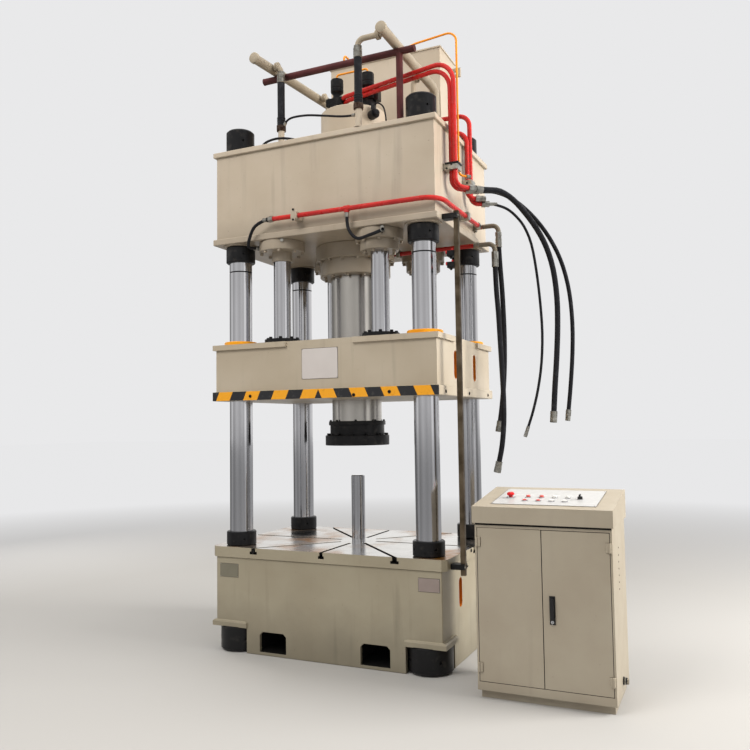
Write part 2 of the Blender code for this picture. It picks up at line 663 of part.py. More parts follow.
def make_side_rod(name, corner, chrome):
    base = SLIDE_TOP + GAP
    piston = SIDE_BORE_RADIUS - RUNNING_GAP
    profile = [(0, base), (ROD_FLANGE_RADIUS, base), (ROD_FLANGE_RADIUS, base + ROD_FLANGE_HEIGHT),
               (SIDE_ROD_RADIUS, base + ROD_FLANGE_HEIGHT), (SIDE_ROD_RADIUS, PISTON_TOP - PISTON_HEIGHT),
               (piston, PISTON_TOP - PISTON_HEIGHT), (piston, PISTON_TOP), (0, PISTON_TOP)]
    place = side_cylinder_place(corner)
    made = solid(name, turned(profile, ROD_SIDES, place), chrome)
    set_origin(made, (*place, base))
    return made


# Slide

SLIDE_PLATE_MARGIN_X = 0.140
SLIDE_PLATE_MARGIN_Y = 0.145
SLIDE_WALL_INSET = 0.018
SLIDE_BOTTOM_PLATE = 0.062
SLIDE_TOP_PLATE = 0.036
LIP_BREAK_X = 0.250         # half the length of the gap in the top plate's lip, front and back
LIP_BREAK_Y = 0.240         # the same at the sides
WIPER_RADIUS = 0.112
WIPER_HEIGHT = 0.026

SLIDE_X = COLUMN_X + SLIDE_PLATE_MARGIN_X
SLIDE_Y = COLUMN_Y + SLIDE_PLATE_MARGIN_Y
SLIDE_WALL_X = SLIDE_X - SLIDE_WALL_INSET
SLIDE_WALL_Y = SLIDE_Y - SLIDE_WALL_INSET


def slide_top_outline():
    """The top plate's outline: its lip is cut back to the wall in the middle of each side."""
    x, y, wall_x, wall_y = SLIDE_X, SLIDE_Y, SLIDE_WALL_X, SLIDE_WALL_Y
    quarter = [(wall_x, LIP_BREAK_Y), (x, LIP_BREAK_Y), (x, y), (LIP_BREAK_X, y), (LIP_BREAK_X, wall_y)]
    mirrored = [(-px, py) for px, py in reversed(quarter)]
    upper = quarter + mirrored
    return upper + [(-px, -py) for px, py in upper]


def make_slide(paint):
    lower = SLIDE_BOTTOM + SLIDE_BOTTOM_PLATE
    upper = SLIDE_TOP - SLIDE_TOP_PLATE
    bottom_plate = block((-SLIDE_X, -SLIDE_Y, SLIDE_BOTTOM), (SLIDE_X, SLIDE_Y, lower), EDGE)
    slide = solid("slide", bottom_plate, paint)
    wall_x, wall_y = SLIDE_WALL_X - GAP, SLIDE_WALL_Y - GAP
    join(slide,
         block((-wall_x, -wall_y, SLIDE_BOTTOM + EDGE), (wall_x, wall_y, upper + BITE)),
         extruded(slide_top_outline(), upper, SLIDE_TOP))
    for corner in CORNERS.values():
        place = place_of(corner)
        crest = SLIDE_TOP + WIPER_HEIGHT
        wiper = [(0, SLIDE_TOP - BITE), (WIPER_RADIUS, SLIDE_TOP - BITE), (WIPER_RADIUS, crest - EDGE),
                 (WIPER_RADIUS - EDGE, crest), (0, crest)]
        join(slide, turned(wiper, ROUND_SIDES, place))
        cut(slide, upright_bore(place, COLUMN_RADIUS + RUNNING_GAP, SLIDE_BOTTOM, SLIDE_TOP + WIPER_HEIGHT))
        side, depth = corner
        base = SLIDE_BOTTOM + (SLIDE_HEIGHT + SLIDE_BOTTOM_PLATE - SLIDE_TOP_PLATE - HAND_SLOT_HEIGHT) / 2
        cut(slide, hand_slot(side, depth * HAND_SLOT_Y, SLIDE_WALL_X, base, HAND_SLOT_DEPTH))
    cut(slide, upright_bore((0, 0), RAM_RADIUS + RUNNING_GAP, SLIDE_BOTTOM, SLIDE_TOP, RAM_SIDES))
    set_origin(slide, (0, 0, SLIDE_BOTTOM))
    return slide


# Ejector under the table

EJECTOR_STAND = 0.465       # how far the rod stands above the table as shown
EJECTOR_BORE_RADIUS = 0.075
EJECTOR_BARREL_RADIUS = 0.105
EJECTOR_FLANGE_RADIUS = 0.160
EJECTOR_FLANGE_HEIGHT = 0.036
EJECTOR_END = 0.024
EJECTOR_FOOT_ROOM = 0.012
EJECTOR_PISTON = 0.050

EJECTOR_TOP = TABLE_TOP + EJECTOR_STAND
BARREL_BOTTOM = BED_FLOOR + EJECTOR_FOOT_ROOM
PISTON_BOTTOM = BARREL_BOTTOM + EJECTOR_END + EJECTOR_FOOT_ROOM + EJECTOR_DOWN


def make_ejector_cylinder(steel):
    top = BED_HEIGHT
    neck = top - EJECTOR_FLANGE_HEIGHT
    bore = EJECTOR_RADIUS + RUNNING_GAP
    end = BARREL_BOTTOM + EJECTOR_END
    profile = [(0, BARREL_BOTTOM), (EJECTOR_BARREL_RADIUS, BARREL_BOTTOM), (EJECTOR_BARREL_RADIUS, neck),
               (EJECTOR_FLANGE_RADIUS, neck), (EJECTOR_FLANGE_RADIUS, top), (bore, top), (bore, neck),
               (EJECTOR_BORE_RADIUS, neck), (EJECTOR_BORE_RADIUS, end), (0, end)]
    return solid("ejector_cylinder", turned(profile, ROUND_SIDES), steel)


def make_ejector_rod(chrome):
    piston = EJECTOR_BORE_RADIUS - RUNNING_GAP
    profile = [(0, PISTON_BOTTOM), (piston, PISTON_BOTTOM), (piston, PISTON_BOTTOM + EJECTOR_PISTON),
               (EJECTOR_RADIUS, PISTON_BOTTOM + EJECTOR_PISTON), (EJECTOR_RADIUS, EJECTOR_TOP - EDGE),
               (EJECTOR_RADIUS - EDGE, EJECTOR_TOP), (0, EJECTOR_TOP)]
    made = solid("ejector_rod", turned(profile, ROUND_SIDES), chrome)
    set_origin(made, (0, 0, PISTON_BOTTOM))
    return made


# Prefill tank over the main cylinder, and its two valves

PREFILL_RADIUS = 0.240
PREFILL_INNER_RADIUS = 0.218
PREFILL_HEIGHT = 0.323
PREFILL_ROOF = 0.030
SOLENOID_RADIUS = 0.034
SOLENOID_LENGTH = 0.075
SOLENOID_DROP = 0.075
SOLENOID_ANGLE = math.radians(-50)
VALVE_LEFT_X = -0.090
VALVE_RIGHT_X = 0.158
VALVE_Y = -0.085
VALVE_BASE_RADIUS = 0.056
VALVE_BASE_HEIGHT = 0.036
VALVE_BODY_RADIUS = 0.045
VALVE_BODY_HEIGHT = 0.114
VALVE_NECK_RADIUS = 0.030
VALVE_NECK_HEIGHT = 0.034
VALVE_CAP_RADIUS = 0.047
VALVE_CAP_HEIGHT = 0.076
VALVE_COIL_WIDTH = 0.044
VALVE_COIL_HEIGHT = 0.095

PREFILL_TOP = CROWN_TOP + PREFILL_HEIGHT
VALVE_BODY_TOP = PREFILL_TOP + GAP + VALVE_BASE_HEIGHT + VALVE_BODY_HEIGHT
VALVE_TOP = VALVE_BODY_TOP + VALVE_NECK_HEIGHT + VALVE_CAP_HEIGHT


def make_prefill_tank(paint):
    bottom, top = CROWN_TOP + GAP, PREFILL_TOP
    roof = top - PREFILL_ROOF
    profile = [(0, top), (PREFILL_RADIUS - EDGE, top), (PREFILL_RADIUS, top - EDGE),
               (PREFILL_RADIUS, bottom), (PREFILL_INNER_RADIUS, bottom),
               (PREFILL_INNER_RADIUS, roof), (0, roof)]
    tank = solid("prefill_tank", turned(profile, RAM_SIDES), paint)
    out = Vector((math.cos(SOLENOID_ANGLE), math.sin(SOLENOID_ANGLE), 0))
    middle = Vector((0, 0, top - SOLENOID_DROP))
    inner, outer = PREFILL_INNER_RADIUS + BITE * 2, PREFILL_RADIUS + SOLENOID_LENGTH
    join(tank, rod(middle + out * inner, middle + out * outer, SOLENOID_RADIUS, ROD_SIDES))
    return tank


def make_prefill_valve(name, x, black, with_coil):
    base = PREFILL_TOP + GAP
    body = base + VALVE_BASE_HEIGHT
    cap = VALVE_BODY_TOP + VALVE_NECK_HEIGHT
    profile = [(0, base), (VALVE_BASE_RADIUS, base), (VALVE_BASE_RADIUS, body), (VALVE_BODY_RADIUS, body),
               (VALVE_BODY_RADIUS, VALVE_BODY_TOP), (VALVE_NECK_RADIUS, VALVE_BODY_TOP),
               (VALVE_NECK_RADIUS, cap),
               (VALVE_CAP_RADIUS, cap + EDGE), (VALVE_CAP_RADIUS, VALVE_TOP - EDGE),
               (VALVE_CAP_RADIUS - EDGE, VALVE_TOP), (0, VALVE_TOP)]
    valve = solid(name, turned(profile, ROD_SIDES, (x, VALVE_Y)), black)
    if with_coil:
        half = VALVE_COIL_WIDTH / 2
        start = x + VALVE_BODY_RADIUS - BITE * 2
        join(valve, block((start, VALVE_Y - half, body + EDGE), (start + VALVE_COIL_WIDTH, VALVE_Y + half,
                                                                 body + EDGE + VALVE_COIL_HEIGHT), EDGE))
    return valve


# Pipe rack: an upright and a cross bar that carry the two header pipes

RACK_RADIUS = 0.0235
POST_X = 0.530
RACK_Y = -0.378
RACK_LEFT = -0.530
RACK_RIGHT = 0.640
POST_FOOT_SIZE = 0.100
POST_FOOT_THICKNESS = 0.010

# Header pipes, which feed the side cylinders through short hoses

HEADER_RADIUS = 0.033
HEADER_LEVEL = 0.593        # above the crown's top
HEADER_FRONT = -0.630
HEADER_BACK = 0.415
HEADER_LEFT_FRONT_X = -0.453
HEADER_LEFT_BACK_X = -0.366
HEADER_RIGHT_FRONT_X = 0.509
HEADER_RIGHT_BACK_X = 0.492
HEADER_CAP_RADIUS = 0.038
HEADER_CAP_LENGTH = 0.014
HEADER_BEND = 0.060
BRANCH_RADIUS = 0.019
BRANCH_FLANGE_RADIUS = 0.032
BRANCH_FLANGE_LENGTH = 0.024
BRANCH_REACH = 0.085        # from a header out to its branch hose
BRANCH_LEFT_Y = -0.440
BRANCH_RIGHT_Y = -0.545
BRANCH_RIGHT_REACH = 0.205
BRANCH_REAR_Y = 0.170
BRANCH_DROP = 0.062         # from a header's axis down to the top of its hose
HEADER_HOSE_RADIUS = 0.026
UNION_RADIUS = 0.037
UNION_HEIGHT = 0.040
UNION_LEVEL = 0.120         # above the crown's top
STUB_RADIUS = 0.022
FERRULE_RADIUS = 0.029
FERRULE_HEIGHT = 0.060

HEADER_Z = CROWN_TOP + HEADER_LEVEL
RACK_Z = HEADER_Z - HEADER_RADIUS - RACK_RADIUS - GAP


def header_x(front_x, back_x, y):
    """Where a header lies, left to right, at a given depth."""
    share = (y - HEADER_FRONT) / (HEADER_BACK - HEADER_FRONT)
    return front_x + (back_x - front_x) * share


def make_pipe_rack(maroon):
    base = CROWN_TOP + GAP
    bar = rod((RACK_LEFT, RACK_Y, RACK_Z), (RACK_RIGHT, RACK_Y, RACK_Z), RACK_RADIUS, ROD_SIDES)
    rack = solid("pipe_rack", bar, maroon)
    half = POST_FOOT_SIZE / 2
    join(rack,
         rod((POST_X, RACK_Y, base + BITE), (POST_X, RACK_Y, RACK_Z), RACK_RADIUS - GAP, ROD_SIDES),
         block((POST_X - half, RACK_Y - half, base),
               (POST_X + half, RACK_Y + half, base + POST_FOOT_THICKNESS)))
    return rack


def make_header(name, side, front_x, back_x, branch_y, branch_reach, paint):
    foot = CROWN_TOP + GAP
    run = [(front_x, HEADER_FRONT, HEADER_Z), (back_x, HEADER_BACK, HEADER_Z), (back_x, HEADER_BACK, foot)]
    header = solid(name, tube_mesh(rounded_route(run, HEADER_BEND), HEADER_RADIUS), paint)
    cap_start = HEADER_FRONT - HEADER_CAP_LENGTH
    join(header, rod((front_x, cap_start, HEADER_Z), (front_x, HEADER_FRONT + HEADER_CAP_LENGTH, HEADER_Z),
                     HEADER_CAP_RADIUS, ROD_SIDES))
    for y, reach, end in ((branch_y, branch_reach, HEADER_Z - BRANCH_DROP),
                          (BRANCH_REAR_Y, BRANCH_REACH, foot)):
        x = header_x(front_x, back_x, y)
        hose_x = x - side * reach
        elbow = [(x, y, HEADER_Z), (hose_x, y, HEADER_Z), (hose_x, y, end)]
        flange = x - side * (HEADER_RADIUS + BRANCH_FLANGE_LENGTH / 2)
        join(header,
             tube_mesh(rounded_route(elbow, BEND_RADIUS), BRANCH_RADIUS),
             rod((flange, y, HEADER_Z), (flange - side * BRANCH_FLANGE_LENGTH, y, HEADER_Z),
                 BRANCH_FLANGE_RADIUS, PIPE_SIDES))
    return header


def make_header_hose(name, side, front_x, back_x, branch_y, branch_reach, rubber):
    """A rubber hose with its crimped ends, and the union nut and stub that it screws to."""
    x = header_x(front_x, back_x, branch_y) - side * branch_reach
    foot = CROWN_TOP + GAP
    top = HEADER_Z - BRANCH_DROP - GAP
    union = foot + UNION_LEVEL
    profile = [(0, foot), (STUB_RADIUS, foot), (STUB_RADIUS, union), (UNION_RADIUS, union),
               (UNION_RADIUS, union + UNION_HEIGHT), (FERRULE_RADIUS, union + UNION_HEIGHT),
               (FERRULE_RADIUS, union + UNION_HEIGHT + FERRULE_HEIGHT),
               (HEADER_HOSE_RADIUS, union + UNION_HEIGHT + FERRULE_HEIGHT),
               (HEADER_HOSE_RADIUS, top - FERRULE_HEIGHT), (FERRULE_RADIUS, top - FERRULE_HEIGHT),
               (FERRULE_RADIUS, top), (0, top)]
    return solid(name, turned(profile, ROD_SIDES, (x, branch_y)), rubber)


# Red pressure pipes: a pair from the left valve over the crown and down its right side

PRESSURE_RADIUS = 0.016
PRESSURE_LEVEL = 0.098      # of the lower pipe, above the prefill tank
PRESSURE_RISE = 0.037       # from the lower pipe up to the upper one
PORT_SIZE = 0.058
PORT_DEPTH = 0.034
PRESSURE_TURN_Y = -0.215
PRESSURE_BEND = 0.070
OUTER_PIPE_PROUD = 0.053    # from the crown plate's edge to the outer pipe's axis
INNER_PIPE_PROUD = 0.020
OUTER_PIPE_Y = -0.360
INNER_PIPE_Y = -0.335
TAIL_DROP = 0.426           # from the crown's top down to where the pipes turn outwards
TAIL_LENGTH = 0.150
TAIL_ANGLE = math.radians(52)
CLAMP_DROP = 0.275          # from the crown's top down to the clamp
CLAMP_HEIGHT = 0.046
CLAMP_MARGIN = 0.010        # of clamp round a pipe

RIGHT_FACE = CROWN_WALL_X + GAP


def tail_end(x, y, level, length, angle=TAIL_ANGLE):
    return x + length * math.cos(angle), y + length * math.sin(angle), level


OUTER_PIPE_X = CROWN_X + OUTER_PIPE_PROUD
INNER_PIPE_X = CROWN_X + INNER_PIPE_PROUD
TAIL_Z = CROWN_TOP - TAIL_DROP
OUTER_TAIL = tail_end(OUTER_PIPE_X, OUTER_PIPE_Y, TAIL_Z, TAIL_LENGTH)
INNER_TAIL = tail_end(INNER_PIPE_X, INNER_PIPE_Y, TAIL_Z, TAIL_LENGTH)


def fitting_at(end, angle, radius=FITTING_RADIUS, length=FITTING_LENGTH):
    """A hexagonal hose fitting on the last stretch of a level pipe."""
    x, y, z = end
    start = (x - length * math.cos(angle), y - length * math.sin(angle), z)
    return rod(start, (x + BITE * math.cos(angle), y + BITE * math.sin(angle), z), radius, 6)


def make_pressure_pipes(red):
    lower = PREFILL_TOP + PRESSURE_LEVEL
    upper = lower + PRESSURE_RISE
    port_front = VALVE_Y - VALVE_BODY_RADIUS - GAP
    half = PORT_SIZE / 2
    middle = (lower + upper) / 2
    port = block((VALVE_LEFT_X - half, port_front - PORT_DEPTH, middle - half),
                 (VALVE_LEFT_X + half, port_front, middle + half), EDGE)
    pipes = solid("pressure_pipes", port, red)
    for level, x, y, tail in ((upper, OUTER_PIPE_X, OUTER_PIPE_Y, OUTER_TAIL),
                              (lower, INNER_PIPE_X, INNER_PIPE_Y, INNER_TAIL)):
        run = [(VALVE_LEFT_X, port_front - BITE, level), (VALVE_LEFT_X, PRESSURE_TURN_Y, level),
               (x, y, level), (x, y, TAIL_Z), tail]
        join(pipes, tube_mesh(rounded_route(run, PRESSURE_BEND / 2), PRESSURE_RADIUS))
        join(pipes, fitting_at(tail, TAIL_ANGLE))
    clamp_top = CROWN_TOP - CLAMP_DROP
    reach = PRESSURE_RADIUS + CLAMP_MARGIN
    join(pipes, block((RIGHT_FACE, OUTER_PIPE_Y - reach, clamp_top - CLAMP_HEIGHT),
                      (OUTER_PIPE_X + reach, INNER_PIPE_Y + reach, clamp_top)))
    return pipes


# Red return pipe from the prefill tank over the crown's right side

RETURN_LEVEL = 0.125        # above the crown's top
RETURN_Y = 0.065
RETURN_PROUD = 0.022
RETURN_STRAIGHT = 0.160
RETURN_TAIL_DROP = 0.430
RETURN_TAIL_LENGTH = 0.125
RETURN_TAIL_ANGLE = math.radians(30)

RETURN_X = CROWN_X + RETURN_PROUD
RETURN_TAIL = tail_end(RETURN_X, RETURN_Y, CROWN_TOP - RETURN_TAIL_DROP, RETURN_TAIL_LENGTH,
                       RETURN_TAIL_ANGLE)


def make_return_pipe(red):
    level = CROWN_TOP + RETURN_LEVEL
    start = PREFILL_RADIUS + GAP
    run = [(start, 0, level), (start + RETURN_STRAIGHT, 0, level),
           (start + RETURN_STRAIGHT * 2, RETURN_Y, level), (RETURN_X, RETURN_Y, level),
           (RETURN_X, RETURN_Y, CROWN_TOP - RETURN_TAIL_DROP), RETURN_TAIL]
    pipe = solid("return_pipe", tube_mesh(rounded_route(run, BEND_RADIUS), PRESSURE_RADIUS), red)
    join(pipe, fitting_at(RETURN_TAIL, RETURN_TAIL_ANGLE))
    clamp_top = CROWN_TOP - CLAMP_DROP
    reach = PRESSURE_RADIUS + CLAMP_MARGIN
    join(pipe, block((RIGHT_FACE, RETURN_Y - reach, clamp_top - CLAMP_HEIGHT),
                     (RETURN_X + reach, RETURN_Y + reach, clamp_top)))
    return pipe


# Red pipe along the crown's front and right side, with the hoses to the front cylinders

FRONT_PIPE_START = -0.340
FRONT_PIPE_PROUD = 0.043    # from the crown plate's edge to the pipe's axis
SIDE_PIPE_PROUD = 0.055
FRONT_PIPE_RISE = 0.120     # above the crown's underside
SIDE_PIPE_BACK = 0.270
ELBOW_REACH = 0.100
ELBOW_DROP = 0.055
SHORT_HOSE_RADIUS = 0.011
TEE_X = 0.240
TEE_SIZE = 0.044
PORT_RISE = 0.035           # of a cylinder's port below the crown's underside
LEFT_PORT_TURN = math.radians(60)
RIGHT_PORT_TURN = math.radians(30)
LEFT_BOWS = [(0.045, -0.135, 0.110), (-0.020, -0.105, 0.000)]
RIGHT_BOWS = [(-0.205, -0.072, 0.020), (-0.150, -0.060, -0.046), (-0.060, -0.050, -0.030)]
FRONT_CLAMPS = (-0.145, 0.560)
SIDE_CLAMP_Y = -0.060

FRONT_PIPE_Y = -CROWN_Y - FRONT_PIPE_PROUD
SIDE_PIPE_X = CROWN_X + SIDE_PIPE_PROUD
FRONT_PIPE_Z = CROWN_BOTTOM + FRONT_PIPE_RISE
PORT_Z = CROWN_BOTTOM - PORT_RISE
ELBOW_X = SIDE_PIPE_X + ELBOW_REACH
ELBOW_END = FRONT_PIPE_Z - ELBOW_DROP - FITTING_LENGTH


def smooth_route(points, steps):
    """Points along a smooth curve through the given ones."""
    points = [Vector(point) for point in points]
    padded = [points[0] * 2 - points[1]] + points + [points[-1] * 2 - points[-2]]
    route = []
    for a, b, c, d in zip(padded, padded[1:], padded[2:], padded[3:]):
        for step in range(steps):
            t = step / steps
            route.append((b * 2 + (c - a) * t + (a * 2 - b * 5 + c * 4 - d) * t ** 2
                          + (b * 3 - a - c * 3 + d) * t ** 3) / 2)
    route.append(points[-1])
    return route


def short_hose(side, start, heading, turn, bows):
    """From the front pipe to a port on the rim of a front side cylinder's flange.

    The bows are places on the way, measured from the port.
    """
    start, heading = Vector(start), Vector(heading)
    outward = Vector((side * math.sin(turn), -math.cos(turn), 0))
    port = Vector((side * SIDE_CYLINDER_X, -SIDE_CYLINDER_Y, PORT_Z)) + outward * (SIDE_FLANGE_RADIUS + GAP)
    inner = [port + Vector(bow) for bow in bows]
    lead = SHORT_HOSE_RADIUS * 2
    free = [start, start + heading * lead] + inner + [port + outward * lead]
    return smooth_route(free, HOSE_STEPS) + [port]


def make_front_pipe(red):
    run = [(FRONT_PIPE_START, FRONT_PIPE_Y, FRONT_PIPE_Z), (SIDE_PIPE_X, FRONT_PIPE_Y, FRONT_PIPE_Z),
           (SIDE_PIPE_X, SIDE_PIPE_BACK, FRONT_PIPE_Z), (ELBOW_X, SIDE_PIPE_BACK, FRONT_PIPE_Z),
           (ELBOW_X, SIDE_PIPE_BACK, FRONT_PIPE_Z - ELBOW_DROP)]
    pipe = solid("front_pipe", tube_mesh(rounded_route(run, BEND_RADIUS), PRESSURE_RADIUS), red)
    join(pipe, rod((ELBOW_X, SIDE_PIPE_BACK, FRONT_PIPE_Z - ELBOW_DROP + BITE),
                   (ELBOW_X, SIDE_PIPE_BACK, ELBOW_END), FITTING_RADIUS, 6))
    half = TEE_SIZE / 2
    for x in (FRONT_PIPE_START, TEE_X):
        join(pipe, block((x - half, FRONT_PIPE_Y - half, FRONT_PIPE_Z - half),
                         (x + half, FRONT_PIPE_Y + half, FRONT_PIPE_Z + half), EDGE))
    front_face = -CROWN_WALL_Y - GAP
    reach = PRESSURE_RADIUS + CLAMP_MARGIN
    for x in FRONT_CLAMPS:
        join(pipe, block((x - CLAMP_HEIGHT / 2, FRONT_PIPE_Y - reach, FRONT_PIPE_Z - reach),
                         (x + CLAMP_HEIGHT / 2, front_face, FRONT_PIPE_Z + reach)))
    join(pipe, block((RIGHT_FACE, SIDE_CLAMP_Y - CLAMP_HEIGHT / 2, FRONT_PIPE_Z - reach),
                     (SIDE_PIPE_X + reach, SIDE_CLAMP_Y + CLAMP_HEIGHT / 2, FRONT_PIPE_Z + reach)))
    left_start = (FRONT_PIPE_START - half + BITE, FRONT_PIPE_Y, FRONT_PIPE_Z)
    tee_start = (TEE_X, FRONT_PIPE_Y, FRONT_PIPE_Z - half + BITE)
    left_hose = short_hose(-1, left_start, (-1, 0, 0), LEFT_PORT_TURN, LEFT_BOWS)
    right_hose = short_hose(1, tee_start, DOWN, RIGHT_PORT_TURN, RIGHT_BOWS)
    join(pipe, tube_mesh(left_hose, SHORT_HOSE_RADIUS), tube_mesh(right_hose, SHORT_HOSE_RADIUS))
    return pipe


# Yellow pilot and drain pipe

DRAIN_RADIUS = 0.007
PILOT_RISE = 0.036
PILOT_BRANCH_X = 0.100
DRAIN_BEHIND_RACK = 0.0115  # from the cross bar's back to the pipe's axis
DRAIN_LIFT_X = 0.600
DRAIN_LIFT = 0.100
DRAIN_LIFT_RUN = 0.080
DRAIN_PROUD = 0.055
DRAIN_Y = -0.290
DRAIN_CLAMP_DROP = 0.290
DRAIN_END_DROP = 0.335
DRAIN_TAIL = 0.085
DRAIN_BEND = 0.030

DRAIN_X = CROWN_X + DRAIN_PROUD


def make_drain_pipe(yellow):
    pilot = VALVE_TOP + PILOT_RISE
    seat = VALVE_TOP + GAP
    behind = RACK_Y + RACK_RADIUS + DRAIN_BEHIND_RACK
    lifted = RACK_Z + DRAIN_LIFT
    tail = tail_end(DRAIN_X, DRAIN_Y, CROWN_TOP - DRAIN_END_DROP, DRAIN_TAIL, TAIL_ANGLE)
    bridge = [(VALVE_LEFT_X, VALVE_Y, seat), (VALVE_LEFT_X, VALVE_Y, pilot),
              (VALVE_RIGHT_X, VALVE_Y, pilot), (VALVE_RIGHT_X, VALVE_Y, seat)]
    pipe = solid("drain_pipe", tube_mesh(rounded_route(bridge, DRAIN_BEND / 2), DRAIN_RADIUS), yellow)
    run = [(PILOT_BRANCH_X, VALVE_Y, pilot), (PILOT_BRANCH_X, behind, pilot),
           (PILOT_BRANCH_X, behind, RACK_Z), (DRAIN_LIFT_X, behind, RACK_Z),
           (DRAIN_LIFT_X + DRAIN_LIFT_RUN, DRAIN_Y, lifted),
           (DRAIN_X, DRAIN_Y, lifted), (DRAIN_X, DRAIN_Y, CROWN_TOP - DRAIN_END_DROP), tail]
    join(pipe, tube_mesh(rounded_route(run, DRAIN_BEND), DRAIN_RADIUS))
    clamp_top = CROWN_TOP - DRAIN_CLAMP_DROP
    reach = DRAIN_RADIUS + GAP * 10
    join(pipe, block((RIGHT_FACE, DRAIN_Y - reach, clamp_top - CLAMP_HEIGHT / 2),
                     (DRAIN_X + reach, DRAIN_Y + reach, clamp_top)))
    join(pipe, fitting_at(tail, TAIL_ANGLE, DRAIN_RADIUS * 2, FITTING_LENGTH / 2))
    return pipe


# Position rail with its two limit switches, beside the front right column

RAIL_PROUD = 0.073          # from the table's edge to the bar's axis
RAIL_Y = -0.450
RAIL_SIZE = 0.030
RAIL_BELOW_TABLE = 0.105    # bottom of the rail below the table's top
RAIL_ABOVE_CROWN = 0.056    # top of the rail above the crown's underside
GUIDE_ROD_RADIUS = 0.011
GUIDE_ROD_OFFSET = 0.036
BRACKET_DEPTH = 0.070
BRACKET_HEIGHT = 0.034
SWITCH_LEVELS = (0.190, 0.262)  # below the rail's top bracket, to a switch's top
SWITCH_WIDTH = 0.052
SWITCH_DEPTH = 0.062
SWITCH_HEIGHT = 0.046
ROLLER_RADIUS = 0.013
ROLLER_LENGTH = 0.016

RAIL_X = TABLE_X + RAIL_PROUD
RAIL_BOTTOM = TABLE_TOP - RAIL_BELOW_TABLE
RAIL_TOP = CROWN_BOTTOM + RAIL_ABOVE_CROWN


def make_position_rail(black):
    half = RAIL_SIZE / 2
    rail = solid("position_rail", block((RAIL_X - half, RAIL_Y - half, RAIL_BOTTOM),
                                        (RAIL_X + half, RAIL_Y + half, RAIL_TOP), GAP * 5), black)
    rod_x = RAIL_X - GUIDE_ROD_OFFSET
    join(rail, rod((rod_x, RAIL_Y, RAIL_BOTTOM), (rod_x, RAIL_Y, RAIL_TOP), GUIDE_ROD_RADIUS))
    reach = BRACKET_DEPTH / 2
    for face, bottom in ((TABLE_X + GAP, TABLE_TOP - BRACKET_HEIGHT * 2),
                         (CROWN_X + GAP, CROWN_BOTTOM + EDGE)):
        join(rail, block((face, RAIL_Y - reach, bottom), (RAIL_X + half - BITE / 2, RAIL_Y + reach,
                                                         bottom + BRACKET_HEIGHT)))
    for drop in SWITCH_LEVELS:
        top = CROWN_BOTTOM - drop
        front = RAIL_Y - half - SWITCH_DEPTH
        left = RAIL_X - SWITCH_WIDTH
        join(rail,
             block((left, front, top - SWITCH_HEIGHT), (RAIL_X + half / 2, RAIL_Y - half + BITE, top)),
             rod((left - ROLLER_LENGTH, front + SWITCH_DEPTH / 2, top - ROLLER_RADIUS),
                 (left + BITE, front + SWITCH_DEPTH / 2, top - ROLLER_RADIUS), ROLLER_RADIUS))
    return rail


# Control cabinet

CABINET_X = 1.485           # centre, left to right
DESK_FRONT = -0.800
DESK_WIDTH = 0.770
DESK_DEPTH = 0.525
DESK_FRONT_TOP = 1.061
DESK_SLOPE = 0.068          # rise of the desk from front to back
DESK_LIP = 0.092
DESK_OVERHANG = 0.018
CABINET_WALL = 0.014
CABINET_SIDE_INSET = 0.010
PLINTH_HEIGHT = 0.050
PLINTH_INSET = 0.014
PLINTH_FRONT_INSET = 0.030
DOOR_BORDER = 0.011         # cabinet frame round the doors
DOOR_BOTTOM_BORDER = 0.042
DOOR_TOP_BORDER = 0.026
DOOR_THICKNESS = 0.018
DOOR_GAP = 0.002
HINGE_RADIUS = 0.007
HINGE_PROUD = 0.008         # of a hinge pin in front of the doors
HINGE_HEIGHT = 0.050
HINGE_INSET = 0.055         # from a door's end to its hinge
HINGE_LEAF = 0.014
BOARD_MARGIN = 0.060
BOARD_THICKNESS = 0.008
GEAR_DEPTH = 0.070
GEAR_HEIGHT = 0.090
GEAR_ROWS = 3
GLAND_RADIUS = 0.018
GLAND_LENGTH = 0.030
GLAND_LEVEL = 0.110

CABINET_LEFT = CABINET_X - DESK_WIDTH / 2 + CABINET_SIDE_INSET
CABINET_RIGHT = CABINET_X + DESK_WIDTH / 2 - CABINET_SIDE_INSET
CABINET_FRONT = DESK_FRONT + DESK_OVERHANG
CABINET_BACK = DESK_FRONT + DESK_DEPTH - DESK_OVERHANG / 2
DESK_BOTTOM = DESK_FRONT_TOP - DESK_LIP
DOORWAY_LEFT = CABINET_LEFT + DOOR_BORDER
DOORWAY_RIGHT = CABINET_RIGHT - DOOR_BORDER
DOORWAY_BOTTOM = PLINTH_HEIGHT + DOOR_BOTTOM_BORDER
DOORWAY_TOP = DESK_BOTTOM - DOOR_TOP_BORDER
HINGE_Y = CABINET_FRONT - HINGE_PROUD
HINGE_LEFT_X = DOORWAY_LEFT
HINGE_RIGHT_X = DOORWAY_RIGHT
DESK_TILT = math.atan2(DESK_SLOPE, DESK_DEPTH)

# Controls on the desk, as (left to right, front to back) from the desk's front left corner

